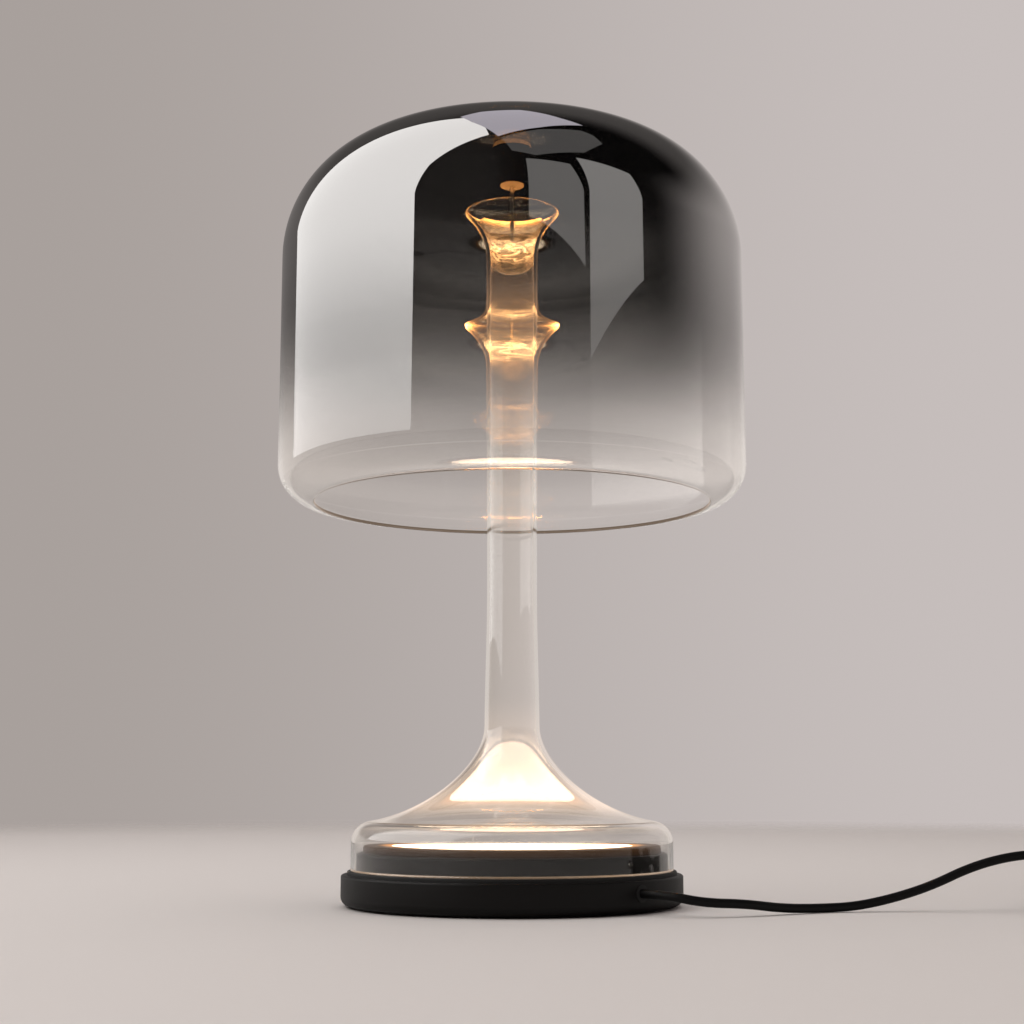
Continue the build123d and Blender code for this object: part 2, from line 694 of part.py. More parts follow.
def plug_side():
    """Control points of the plug's side, which follows the mouth's inner face."""
    mouth = stem_curves()[2]
    return first_share(offset_line(mouth, GLASS_T + RUN_GAP), PLUG_SHARE)


PLUG_TOP = plug_side()[-1][1]
SPACER_Z = STEM_TOP + SPACER_ABOVE
HEAD_Z = SPACER_Z + SPACER_T + POST_UPPER_L
CEILING_Z = HEAD_Z + HEAD_H + HOLDER_PAD_T + RUN_GAP
APEX_Z = CEILING_Z + DOME_T
CROWN_Z = APEX_Z - CROWN_R
RIM_Z = APEX_Z - DOME_H


def make_holder_plug():
    side = plug_side()
    radius, start = side[0]
    low = start - PLUG_DOME
    top_r = side[-1][0]
    plug = lathe(
        Bezier((0, low), (radius * 0.55, low), (radius, low + PLUG_DOME * 0.45), (radius, start)),
        Bezier(*side),
        Line((top_r, PLUG_TOP), (0, PLUG_TOP)),
        Line((0, PLUG_TOP), (0, low)),
    )
    return plug - disc(STUD_R + FIT_GAP, PLUG_TOP - STUD_IN_PLUG - DROP_GAP, PLUG_TOP)


def make_post(radius, low, high):
    return washer(radius, STUD_R + FIT_GAP, low, high)


def make_holder_post_lower():
    return make_post(POST_LOWER_R, PLUG_TOP, SPACER_Z)


def make_holder_spacer():
    return washer(SPACER_R, STUD_R + FIT_GAP, SPACER_Z, SPACER_Z + SPACER_T)


def make_holder_post_upper():
    return make_post(POST_UPPER_R, SPACER_Z + SPACER_T, HEAD_Z)


def make_holder_head():
    head = Pos(0, 0, HEAD_Z) * Cone(HEAD_LOW_R, HEAD_R, HEAD_H, align=LOW)
    return head - disc(STUD_R + FIT_GAP, HEAD_Z, HEAD_Z + STUD_IN_HEAD + DROP_GAP)


def make_holder_stud():
    return disc(STUD_R, PLUG_TOP - STUD_IN_PLUG, HEAD_Z + STUD_IN_HEAD)


def make_holder_pad():
    """Soft pad between the holder's head and the dome's ceiling; its top follows the ceiling."""
    top_r = CROWN_R - DOME_T - RUN_GAP
    pad = disc(HEAD_R - HOLDER_PAD_INSET, HEAD_Z + HEAD_H, APEX_Z)
    return pad & Pos(0, 0, CROWN_Z) * Sphere(top_r)


# Dome

def make_glass_dome():
    bend_x = DOME_R - RIM_BEND
    shoulder_x = DOME_R - DOME_SHOULDER_R
    shoulder_z = CROWN_Z + sqrt((CROWN_R - DOME_SHOULDER_R) ** 2 - shoulder_x ** 2)
    meet = Vector(shoulder_x, shoulder_z - CROWN_Z).get_angle(Vector(1, 0))
    edges = []
    for depth in (0, DOME_T):
        edges += [
            CenterArc((bend_x, RIM_Z + RIM_BEND), RIM_BEND - depth, 270, 90),
            Line((DOME_R - depth, RIM_Z + RIM_BEND), (DOME_R - depth, shoulder_z)),
            CenterArc((shoulder_x, shoulder_z), DOME_SHOULDER_R - depth, 0, meet),
            CenterArc((0, CROWN_Z), CROWN_R - depth, meet, 90 - meet),
        ]
    rim = rounded_end((bend_x, RIM_Z), (DOME_R, RIM_Z), (bend_x, RIM_Z + DOME_T))
    return lathe(*edges, rim, Line((0, APEX_Z), (0, APEX_Z - DOME_T)))


# In-line switch

def switch_shell(low, high, hollow_low, hollow_high, outer_z):
    """Half of the switch's case, with its outer face's edge rounded at outer_z."""
    shell = Pos(0, 0, low) * extrude(RectangleRounded(SWITCH_W, SWITCH_L, SWITCH_CORNER), high - low)
    outer = shell.faces().sort_by(Axis.Z)[0 if outer_z == low else -1]
    shell = fillet(outer.edges(), SWITCH_EDGE)
    inner = RectangleRounded(
        SWITCH_W - 2 * SWITCH_WALL, SWITCH_L - 2 * SWITCH_WALL, SWITCH_CORNER - SWITCH_WALL
    )
    shell -= Pos(0, 0, hollow_low) * extrude(inner, hollow_high - hollow_low)
    return shell - relief_space()


def relief_space():
    """Room for the sleeves of both reliefs, along the switch."""
    return Pos(0, 0, SWITCH_SPLIT) * Rot(90, 0, 0) * Cylinder(RELIEF_R + FIT_GAP, SWITCH_L)


def switch_screw_places():
    return [Pos(side * SWITCH_SCREW_X, side * SWITCH_SCREW_Y, 0) for side in (-1, 1)]


def make_switch_base():
    base = switch_shell(0, SWITCH_SPLIT, SWITCH_WALL, SWITCH_SPLIT, 0)
    for place in switch_screw_places():
        base += place * disc(SWITCH_BOSS_R, SWITCH_WALL, SWITCH_SPLIT)
        base -= place * flat_screw(SWITCH_SPLIT, FIT_GAP)
    return SWITCH * base


def make_switch_cover():
    ceiling = SWITCH_TOP - SWITCH_WALL
    cover = switch_shell(SWITCH_SPLIT, SWITCH_TOP, SWITCH_SPLIT, ceiling, SWITCH_TOP)
    for place in switch_screw_places():
        cover += place * disc(SWITCH_BOSS_R, SWITCH_SPLIT, ceiling)
        cover -= place * disc(FLAT_SCREW_R + FIT_GAP, SWITCH_SPLIT, SWITCH_SCREW_L + DROP_GAP)
    cover -= Pos(0, 0, ceiling) * Box(ROCKER_W + 2 * RUN_GAP, ROCKER_L + 2 * ROCKER_WINDOW_GAP,
                                      SWITCH_WALL, align=LOW)
    lug = Pos(0, 0, ROCKER_PIVOT_Z) * Box(LUG_T, 2 * LUG_R, ceiling - ROCKER_PIVOT_Z, align=LOW)
    lug += Pos(0, 0, ROCKER_PIVOT_Z) * Rot(0, 90, 0) * Cylinder(LUG_R, LUG_T)
    for side in (-1, 1):
        cover += Pos(side * (ROCKER_W / 2 + RUN_GAP + LUG_T / 2), 0, 0) * lug
    pin_hole = Rot(0, 90, 0) * Cylinder(PIN_R, ROCKER_W + 2 * RUN_GAP + 2 * LUG_T)
    return SWITCH * (cover - Pos(0, 0, ROCKER_PIVOT_Z) * pin_hole)


def make_rocker_pin():
    pin = Rot(0, 90, 0) * Cylinder(PIN_R, ROCKER_W + 2 * RUN_GAP + 2 * LUG_T)
    return SWITCH * Pos(0, 0, ROCKER_PIVOT_Z) * pin


def make_switch_rocker():
    """Rocker with a shallow V top, tipped about its pin to its on position."""
    half = ROCKER_L / 2
    low = ROCKER_SKIRT
    end = ROCKER_PIVOT_DOWN + ROCKER_PROUD
    outline = Polyline(
        (-half, low), (half, low), (half, end), (0, end - ROCKER_DIP), (-half, end), close=True
    )
    rocker = extrude(Plane.YZ * make_face(outline), ROCKER_W / 2, both=True)
    rocker += Rot(0, 90, 0) * Cylinder(ROCKER_HUB_R, ROCKER_W)
    rocker += Box(ROCKER_W, 2 * ROCKER_HUB_R, low, align=LOW)
    rocker -= Rot(0, 90, 0) * Cylinder(PIN_R + FIT_GAP, ROCKER_W)
    return SWITCH * Pos(0, 0, ROCKER_PIVOT_Z) * Rot(ROCKER_TILT, 0, 0) * rocker


def make_switch_screws():
    return [SWITCH * place * flat_screw(SWITCH_SCREW_L) for place in switch_screw_places()]


def make_switch_reliefs():
    """Moulded tapered sleeve at each end of the switch, with a flange held inside the case."""
    face = SWITCH_L / 2
    relief = disc(RELIEF_R, RELIEF_IN, face)
    relief += disc(RELIEF_FLANGE_R, RELIEF_IN, RELIEF_IN + RELIEF_FLANGE_T)
    relief += Pos(0, 0, face) * Cone(RELIEF_R, RELIEF_TIP_R, SWITCH_RELIEF_L, align=LOW)
    along = Pos(0, 0, SWITCH_SPLIT) * Rot(-90, 0, 0) * relief
    return [SWITCH * along, SWITCH * Rot(0, 0, 180) * along]


def make_contact_strips():
    """Two brass strips on the floor of the case, each turned up to meet its relief."""
    outline = Polyline(
        (STRIP_NEAR, SWITCH_WALL),
        (RELIEF_IN, SWITCH_WALL),
        (RELIEF_IN, SWITCH_SPLIT),
        (RELIEF_IN - STRIP_T, SWITCH_SPLIT),
        (RELIEF_IN - STRIP_T, STRIP_TOP),
        (STRIP_NEAR, STRIP_TOP),
        close=True,
    )
    strip = extrude(Plane.YZ * make_face(outline), STRIP_W / 2, both=True)
    return [SWITCH * strip, SWITCH * Rot(0, 0, 180) * strip]


def make_contact_leaf():
    """Springy leaf that stands on one strip and reaches over the other."""
    outline = Polyline(
        (-STRIP_NEAR - LEAF_FOOT, STRIP_TOP),
        (-STRIP_NEAR, STRIP_TOP),
        (-STRIP_NEAR, LEAF_Z),
        (STRIP_NEAR + LEAF_FOOT, LEAF_Z),
        (STRIP_NEAR + LEAF_FOOT, LEAF_Z + LEAF_T),
        (-STRIP_NEAR - LEAF_FOOT, LEAF_Z + LEAF_T),
        close=True,
    )
    return SWITCH * extrude(Plane.YZ * make_face(outline), STRIP_W / 2, both=True)


# Plug

def plug_frame(y):
    """Frame across the plug at that Y, with its Z along the cord's end, towards +Y."""
    return Plane(origin=(PLUG_X, y, PLUG_Z), x_dir=(1, 0, 0), z_dir=(0, 1, 0))


def pin_places():
    return [Pos(side * PLUG_PIN_APART / 2, 0, 0) for side in (-1, 1)]


def make_plug_body():
    section = RectangleRounded(PLUG_W, PLUG_H, PLUG_CORNER)
    front = extrude(section, PLUG_L)
    front = fillet(front.faces().sort_by(Axis.Z)[0].edges(), PLUG_EDGE)
    neck_corner = min(PLUG_NECK_W, PLUG_NECK_H) * 0.48
    neck = RectangleRounded(PLUG_NECK_W, PLUG_NECK_H, neck_corner)
    body = front + loft([Pos(0, 0, PLUG_L) * section, Pos(0, 0, PLUG_L + PLUG_TAPER_L) * neck])
    for place in pin_places():
        body -= place * disc(PLUG_PIN_R + FIT_GAP, 0, PLUG_PIN_SINK + FIT_GAP)
    return plug_frame(PLUG_FACE_Y) * body


def make_plug_pins():
    pin = soften(disc(PLUG_PIN_R, -PLUG_PIN_L, PLUG_PIN_SINK), PLUG_PIN_R, -PLUG_PIN_L, PLUG_PIN_R * 0.6)
    return [plug_frame(PLUG_FACE_Y) * place * pin for place in pin_places()]


def make_plug_relief():
    relief = Cone(PLUG_RELIEF_R, RELIEF_TIP_R, PLUG_RELIEF_L, align=LOW)
    step = PLUG_RELIEF_L / (PLUG_RELIEF_GROOVES + 1)
    for i in range(PLUG_RELIEF_GROOVES):
        middle = step * (i + 1)
        skin = PLUG_RELIEF_R + (RELIEF_TIP_R - PLUG_RELIEF_R) * middle / PLUG_RELIEF_L
        relief -= washer(PLUG_RELIEF_R, skin - PLUG_GROOVE_DEEP, middle - PLUG_GROOVE_T / 2,
                         middle + PLUG_GROOVE_T / 2)
    return plug_frame(PLUG_TAIL_Y) * relief


# Cord

def cord_tube(name, route):
    """Tube on straight runs joined by arcs, each as large as its two runs allow."""
    points = [Vector(*point) for point in route]
    radii = []
    for before, here, after in zip(points, points[1:], points[2:]):
        turn = radians((here - before).get_angle(after - here))
        shorter = min((here - before).length, (after - here).length)
        radii.append(0.45 * shorter / tan(turn / 2))
    path = FilletPolyline(*points, radius=radii)
    tube = sweep(Plane(points[0], z_dir=points[1] - points[0]) * Circle(CORD_R), path=path)
    ideal = path.length * pi * CORD_R ** 2
    print(f"{name}: length {path.length:.0f}, least radius {min(radii):.0f}")
    print(f"{name}: volume {tube.volume / ideal:.4f} of ideal")
    return tube


def make_supply_cord():
    return cord_tube("supply_cord", SUPPLY_ROUTE)


def make_cord_link():
    return cord_tube("cord_link", LINK_ROUTE)


def make_plug_lead():
    return cord_tube("plug_lead", PLUG_ROUTE)


def coil_point(turn):
    """Point on the coil's centre line, counted in turns from its outer end on the lower layer."""
    middle = COIL_TURNS / 2
    radius = COIL_IN_R + COIL_PITCH * max(0, abs(turn - middle) - COIL_CLIMB_TURNS / 2)
    share = (turn - COIL_TURNS_A_LAYER) / COIL_CLIMB_TURNS
    share = min(1, max(0, share))
    height = COIL_LOW_Z + COIL_LAYER_STEP * share * share * (3 - 2 * share)
    angle = 2 * pi * turn
    return Vector(COIL_X + radius * cos(angle), COIL_Y + radius * sin(angle), height)


def coil_heading(turn):
    """Way of the coil at a turn; at its two ends it runs along Y, as the cord meets them."""
    if turn in (0, COIL_TURNS):
        return Vector(0, cos(2 * pi * turn), 0)
    return (coil_point(turn + 0.02) - coil_point(turn - 0.02)).normalized()


def biarc(start, start_way, end, end_way):
    """Two arcs that leave start along start_way and reach end along end_way."""
    span = end - start
    bend = 2 * (1 - start_way.dot(end_way))
    lean = 2 * span.dot(start_way + end_way)
    reach = (sqrt(lean ** 2 + 4 * bend * span.dot(span)) - lean) / (2 * bend)
    meet = (start + start_way * reach + end - end_way * reach) * 0.5
    first = Edge.make_tangent_arc(start, start_way, meet)
    return [first, Edge.make_tangent_arc(meet, first % 1, end)]


def make_cord_coil():
    """Quarter turns of two arcs each, with both ends straight for one diameter."""
    turns = [i / 4 for i in range(round(COIL_TURNS * 4) + 1)]
    edges = []
    for here, there in zip(turns, turns[1:]):
        edges += biarc(coil_point(here), coil_heading(here), coil_point(there), coil_heading(there))
    samples = [edge @ (k / 8) for edge in edges for k in range(8)]
    half_turn = 32
    least = min(
        (samples[i] - samples[j]).length
        for i in range(len(samples))
        for j in range(i + half_turn, len(samples))
    )
    start, end = coil_point(turns[0]), coil_point(turns[-1])
    lead_in = Edge.make_line(start - coil_heading(turns[0]) * CORD_D, start)
    lead_out = Edge.make_line(end, end + coil_heading(turns[-1]) * CORD_D)
    path = Wire([lead_in, *edges, lead_out])
    coil = sweep(Plane(path @ 0, z_dir=path % 0) * Circle(CORD_R), path=path)
    print(f"cord_coil: length {path.length:.0f}, least gap to itself {least - CORD_D:.2f}")
    return coil


def make_coil_strap():
    """Strap round the coil's bundle at its far side."""
    inner_edge = sqrt((COIL_IN_R - CORD_R) ** 2 - (STRAP_W / 2) ** 2)
    low_y = COIL_Y + inner_edge - RUN_GAP - STRAP_T
    high_y = COIL_Y + COIL_OUT_R + CORD_R + RUN_GAP + STRAP_T
    high_z = COIL_HIGH_Z + CORD_R + RUN_GAP + STRAP_T
    across = high_y - low_y
    centre = Pos(COIL_X, (low_y + high_y) / 2, 0)
    band = fillet(Box(STRAP_W, across, high_z, align=LOW).edges().filter_by(Axis.X), STRAP_T)
    hole = Pos(0, 0, STRAP_T) * Box(STRAP_W, across - 2 * STRAP_T, high_z - 2 * STRAP_T, align=LOW)
    return centre * (band - fillet(hole.edges().filter_by(Axis.X), STRAP_EDGE))


NODES = {
    "base_housing": make_base_housing,
    "bottom_plate": make_bottom_plate,
    "foot_pad": make_foot_pad,
    "bottom_screws": make_bottom_screws,
    "base_weight": make_base_weight,
    "weight_screws": make_weight_screws,
    "cord_gland": make_cord_gland,
    "cord_tail": make_cord_tail,
    "cord_saddle": make_cord_saddle,
    "clamp_bar": make_clamp_bar,
    "clamp_screws": make_clamp_screws,
    "terminal_block": make_terminal_block,
    "terminal_screws": make_terminal_screws,
    "led_driver": make_led_driver,
    "mains_leads": make_mains_leads,
    "led_leads": make_led_leads,
    "heat_sink": make_heat_sink,
    "module_screws": make_module_screws,
    "led_board": make_led_board,
    "led_chips": make_led_chips,
    "board_screws": make_board_screws,
    "diffuser": make_diffuser,
    "bezel_ring": make_bezel_ring,
    "bezel_screws": make_bezel_screws,
    "seat_ring": make_seat_ring,
    "glass_stem": make_glass_stem,
    "holder_plug": make_holder_plug,
    "holder_post_lower": make_holder_post_lower,
    "holder_spacer": make_holder_spacer,
    "holder_post_upper": make_holder_post_upper,
    "holder_head": make_holder_head,
    "holder_stud": make_holder_stud,
    "holder_pad": make_holder_pad,
    "glass_dome": make_glass_dome,
    "supply_cord": make_supply_cord,
    "switch_base": make_switch_base,
    "switch_cover": make_switch_cover,
    "switch_rocker": make_switch_rocker,
    "rocker_pin": make_rocker_pin,
    "switch_screws": make_switch_screws,
    "switch_reliefs": make_switch_reliefs,
    "contact_strips": make_contact_strips,
    "contact_leaf": make_contact_leaf,
    "cord_link": make_cord_link,
    "cord_coil": make_cord_coil,
    "coil_strap": make_coil_strap,
    "plug_lead": make_plug_lead,
    "plug_relief": make_plug_relief,
    "plug_body": make_plug_body,
    "plug_pins": make_plug_pins,
}

os.makedirs("parts", exist_ok=True)
for node, make in NODES.items():
    made = make()
    shape = Compound(children=made) if isinstance(made, list) else made
    export_step(shape, f"parts/{node}.step")
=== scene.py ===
import json
from math import asin, cos, hypot, pi, radians, sin, sqrt, tan, tau

import bmesh
import bpy
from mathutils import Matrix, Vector


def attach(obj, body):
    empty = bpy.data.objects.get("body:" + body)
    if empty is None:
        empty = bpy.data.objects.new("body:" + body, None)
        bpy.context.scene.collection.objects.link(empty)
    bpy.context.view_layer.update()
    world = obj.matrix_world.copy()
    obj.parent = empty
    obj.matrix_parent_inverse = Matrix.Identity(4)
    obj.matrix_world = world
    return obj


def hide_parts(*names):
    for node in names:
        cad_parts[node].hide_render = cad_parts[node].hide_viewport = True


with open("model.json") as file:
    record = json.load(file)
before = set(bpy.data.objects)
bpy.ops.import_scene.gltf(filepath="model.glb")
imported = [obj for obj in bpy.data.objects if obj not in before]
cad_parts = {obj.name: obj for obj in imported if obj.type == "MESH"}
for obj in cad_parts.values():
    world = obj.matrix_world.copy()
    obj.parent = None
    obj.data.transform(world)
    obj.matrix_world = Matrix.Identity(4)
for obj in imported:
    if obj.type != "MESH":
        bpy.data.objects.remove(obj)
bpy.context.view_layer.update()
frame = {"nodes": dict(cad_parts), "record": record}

scene = bpy.context.scene
nodes = frame["nodes"]
MM = 0.001

# Sizes of the lamp in mm, as the part's source has or makes them
CORD_D = 4.8

BASE_R = 95.5
BASE_LIFT = 0.8
BASE_TOP = 17.6
BASE_EDGE = 5.0                # rounding at the housing's foot
BASE_TOP_EDGE = 1.2
CAVITY_R = 84.0
CAVITY_TOP = 15.0
PLATE_R = 88.3                 # recess of the bottom plate
PLATE_TOP = 3.4
WIRE_HOLE_R = 6.0
SEAT_R = 92.0
SEAT_IN_R = 87.3
SEAT_TOP = 19.6
SEAT_EDGE = 0.6

SINK_R = 87.0
SINK_TOP = 29.5
SINK_EDGE = 1.4
BOARD_R = 65.9                 # pocket of the LED board
BOARD_Z = 24.0
BEZEL_R = 83.3
BEZEL_IN_R = 67.9
BEZEL_TOP = 33.5
BEZEL_EDGE = 1.4
BEZEL_IN_EDGE = 0.3
BEZEL_STEP_R = 70.7            # step over the diffuser's flange
BEZEL_STEP_Z = 31.35
FLANGE_R = 70.4
FLANGE_TOP = 31.3
DIFFUSER_R = 67.6
DIFFUSER_TOP = 33.2
DIFFUSER_EDGE = 0.63

GLASS_T = 2.0
FOOT_R = 90.2
FOOT_REACH = 5.0               # a reach is the length of a curve's handle
SHOULDER_Z = 46.6
SHOULDER_BEND = 12.0
SHOULDER_DROP = 9.3            # degrees that the shoulder falls outwards
FLARE_HANDLE = (47.1, 52.0)
NECK_R = 15.6
NECK_Z = 100.0
NECK_REACH = 22.0
TUBE_R = 14.3
TUBE_Z = 180.0
TAPER_REACH = 30.0
TUBE_REACH = 64.0
TUBE_SPREAD = 0.2              # how far the tube has widened at each of its handles
TUBE_TOP_R = 15.0
TUBE_TOP = 372.0
MOUTH_REACH = 12.0
MOUTH_HANDLE = (17.44, 392.07)
MOUTH_R = 28.0
STEM_TOP = 403.0

PLUG_LOW = 366.0
PLUG_LOW_REACH = 7.0
PLUG_R = 12.7
PLUG_BEND_REACH = 3.3
PLUG_SIDE_REACH = 9.2
PLUG_HANDLE = (14.3, 388.6)
PLUG_TOP = 396.49
PLUG_TOP_R = 19.66
PLUG_TOP_REACH = 12.0
STUD_HOLE = 1.25
POST_LOWER_R = 1.9
POST_UPPER_R = 7.4
SPACER_R = 7.0
SPACER_Z = 419.6
SPACER_TOP = 421.0
HEAD_Z = 438.6
HEAD_LOW_R = 9.0
HEAD_TOP = 443.6
HEAD_R = 12.0
HEAD_EDGE = 0.5
PAD_R = 11.5
PAD_SIDE_TOP = 446.5
PAD_TOP = 446.7
PAD_TOP_EDGE = 0.8
SMALL_EDGE = 0.4               # rounding of the posts, spacer and pad

DOME_R = 135.0
DOME_T = 2.0
APEX_Z = 449.0
CROWN_R = 322.0
DOME_SHOULDER_R = 70.0
RIM_BEND = 21.2
RIM_Z = 226.5

# Fineness: steps along the drawn arcs and curves
CROWN_STEPS = 14
DOME_SHOULDER_STEPS = 30
RIM_STEPS = 16
STEM_CURVE_STEPS = 24
PLUG_CURVE_STEPS = 16

# Fineness: steps round the axis
DOME_STEPS = 192
BASE_STEPS = 160
STEM_STEPS = 128
LENS_STEPS = 128
PLUG_STEPS = 96
HOLDER_STEPS = 64
POST_STEPS = 48


# Materials

AMBER = "#FFAA59"              # painted glow colour: the LEDs' light after its way through the tube
WARM = "#FFD7B2"               # painted glow colour of the same light low down, in the flare
DRIFT = 40                     # grains across one patch of slow change
NOISE_LOW = 0.3                # most of a noise's values lie between these
NOISE_HIGH = 0.7
EDGE_POWER = 5.0               # how thin the painted glow lines at the glass's edges are
NEAR_CLEAR = 1.03              # IOR at which the far lip still shows through plug and post
SPILL_W = 9.0                  # mm over which the LEDs' light is painted as a spill on the bezel


def linear(code):
    """An sRGB hex colour as linear RGBA."""
    parts = [int(code[i:i + 2], 16) / 255 for i in (1, 3, 5)]
    return [c / 12.92 if c <= 0.04045 else ((c + 0.055) / 1.055) ** 2.4 for c in parts] + [1.0]


def add(tree, kind, sockets=None, **settings):
    """Add a node: its settings, then its input sockets, each given a value or linked to an output."""
    node = tree.nodes.new(kind)
    for name, value in settings.items():
        setattr(node, name, value)
    for key, value in (sockets or {}).items():
        if isinstance(value, bpy.types.NodeSocket):
            tree.links.new(value, node.inputs[key])
        else:
            node.inputs[key].default_value = value
    return node


def new_material(name):
    """A material with no nodes yet, and its tree."""
    material = bpy.data.materials.new(name)
    material.use_nodes = True
    material.node_tree.nodes.clear()
    return material, material.node_tree


def shade_with(tree, **sockets):
    """The material's Principled shader, joined to its output."""
    named = {key.replace("_", " "): value for key, value in sockets.items()}
    shader = add(tree, "ShaderNodeBsdfPrincipled", named)
    add(tree, "ShaderNodeOutputMaterial", {"Surface": shader.outputs["BSDF"]})
    return shader


def grained(name, light, dark, grain, gloss, depth, metallic=0.0, shine=0.5):
    """Opaque finish whose colour, gloss and relief vary with a grain of that size in mm."""
    material, tree = new_material(name)
    place = add(tree, "ShaderNodeTexCoord").outputs["Object"]
    speck = add(tree, "ShaderNodeTexNoise", {
        "Vector": place, "Scale": 1 / (grain * MM), "Detail": 3.0, "Roughness": 0.6,
    }).outputs["Fac"]
    drift = add(tree, "ShaderNodeTexNoise", {
        "Vector": place, "Scale": 1 / (DRIFT * grain * MM), "Detail": 2.0,
    }).outputs["Fac"]
    both = add(tree, "ShaderNodeMath", {0: speck, 1: drift}, operation="ADD").outputs[0]
    half = add(tree, "ShaderNodeMath", {0: both, 1: 0.5}, operation="MULTIPLY").outputs[0]
    colour = add(tree, "ShaderNodeMix", {
        "Factor": half, 6: linear(dark), 7: linear(light),
    }, data_type="RGBA").outputs[2]
    rough = add(tree, "ShaderNodeMapRange", {
        "Value": half, "From Min": NOISE_LOW, "From Max": NOISE_HIGH,
        "To Min": gloss[0], "To Max": gloss[1],
    }).outputs["Result"]
    relief = add(tree, "ShaderNodeBump", {
        "Height": speck, "Strength": 0.5, "Distance": depth * MM,
    }).outputs["Normal"]
    shade_with(tree, Base_Color=colour, Roughness=rough, Normal=relief, Metallic=metallic,
               Specular_IOR_Level=shine)
    return material


def by_height(tree, levels):
    """A value that follows the height in mm: pairs of (height, value), joined smoothly."""
    low, high = levels[0][0], levels[-1][0]
    most = max(value for _, value in levels)
    place = add(tree, "ShaderNodeTexCoord").outputs["Object"]
    height = add(tree, "ShaderNodeSeparateXYZ", {"Vector": place}).outputs["Z"]
    share = add(tree, "ShaderNodeMapRange", {
        "Value": height, "From Min": low * MM, "From Max": high * MM,
    }).outputs["Result"]
    shape = add(tree, "ShaderNodeFloatCurve", {"Value": share})
    curve = shape.mapping.curves[0]
    curve.points[0].location = (0.0, levels[0][1] / most)
    curve.points[1].location = (1.0, levels[-1][1] / most)
    for level, value in levels[1:-1]:
        curve.points.new((level - low) / (high - low), value / most)
    for point in curve.points:
        point.handle_type = "AUTO_CLAMPED"
    shape.mapping.update()
    return add(tree, "ShaderNodeMath", {
        0: shape.outputs["Value"], 1: most,
    }, operation="MULTIPLY").outputs[0]


def by_reach(tree, inner, outer, first, last):
    """A value that goes from first to last between two radii in mm about the lamp's axis."""
    place = add(tree, "ShaderNodeTexCoord").outputs["Object"]
    flat = add(tree, "ShaderNodeVectorMath", {0: place, 1: (1, 1, 0)}, operation="MULTIPLY").outputs[0]
    reach = add(tree, "ShaderNodeVectorMath", {0: flat}, operation="LENGTH").outputs["Value"]
    return add(tree, "ShaderNodeMapRange", {
        "Value": reach, "From Min": inner * MM, "From Max": outer * MM, "To Min": first, "To Max": last,
    }, interpolation_type="SMOOTHSTEP").outputs["Result"]


def blown_glass(name, painted_glow=None, edge=None, ior=1.47, tint="#FDFCFA"):
    """Borosilicate, blown and fire polished: clear, with lines only at its edges.

    Where heights for a glow are given, a painted glow stands in for the light its wall carries: warm white
    low down, amber above, painted lines where the wall is seen edge on, and high up most at the back.
    """
    material, tree = new_material(name)
    place = add(tree, "ShaderNodeTexCoord").outputs["Object"]
    ripple = add(tree, "ShaderNodeTexNoise", {
        "Vector": place, "Scale": 1 / (60 * MM), "Detail": 1.0,
    }).outputs["Fac"]
    relief = add(tree, "ShaderNodeBump", {
        "Height": ripple, "Strength": 0.15, "Distance": 0.2 * MM,
    }).outputs["Normal"]
    shader = shade_with(tree, Base_Color=linear(tint), Roughness=0.0, IOR=ior, Transmission_Weight=1.0,
                        Normal=relief)
    if painted_glow:
        # Painted glow lines where the wall is seen edge on
        grazing = add(tree, "ShaderNodeLayerWeight", {"Blend": 0.5}).outputs["Facing"]
        thin = add(tree, "ShaderNodeMath", {0: grazing, 1: EDGE_POWER}, operation="POWER").outputs[0]
        lines = add(tree, "ShaderNodeMath", {
            0: by_height(tree, edge), 1: thin,
        }, operation="MULTIPLY").outputs[0]
        both = add(tree, "ShaderNodeMath", {
            0: by_height(tree, painted_glow), 1: lines,
        }, operation="ADD").outputs[0]
        # Painted: high up, the glow is strongest at the back and nearly gone at the front
        depth = add(tree, "ShaderNodeSeparateXYZ", {"Vector": place}).outputs["Y"]
        rear = add(tree, "ShaderNodeMapRange", {
            "Value": depth, "From Min": -0.3 * MOUTH_R * MM, "From Max": 0.6 * MOUTH_R * MM,
            "To Min": 0.005,
        }, interpolation_type="SMOOTHSTEP").outputs["Result"]
        upper = by_height(tree, [(330, 0.0), (380, 1.0)])
        uneven = add(tree, "ShaderNodeMix", {"Factor": upper, 2: 1.0, 3: rear}).outputs[0]
        glow = add(tree, "ShaderNodeMath", {0: both, 1: uneven}, operation="MULTIPLY").outputs[0]
        colour = add(tree, "ShaderNodeMix", {
            "Factor": upper, 6: linear(WARM), 7: linear(AMBER),
        }, data_type="RGBA").outputs[2]
        tree.links.new(colour, shader.inputs["Emission Color"])
        tree.links.new(glow, shader.inputs["Emission Strength"])
    return material


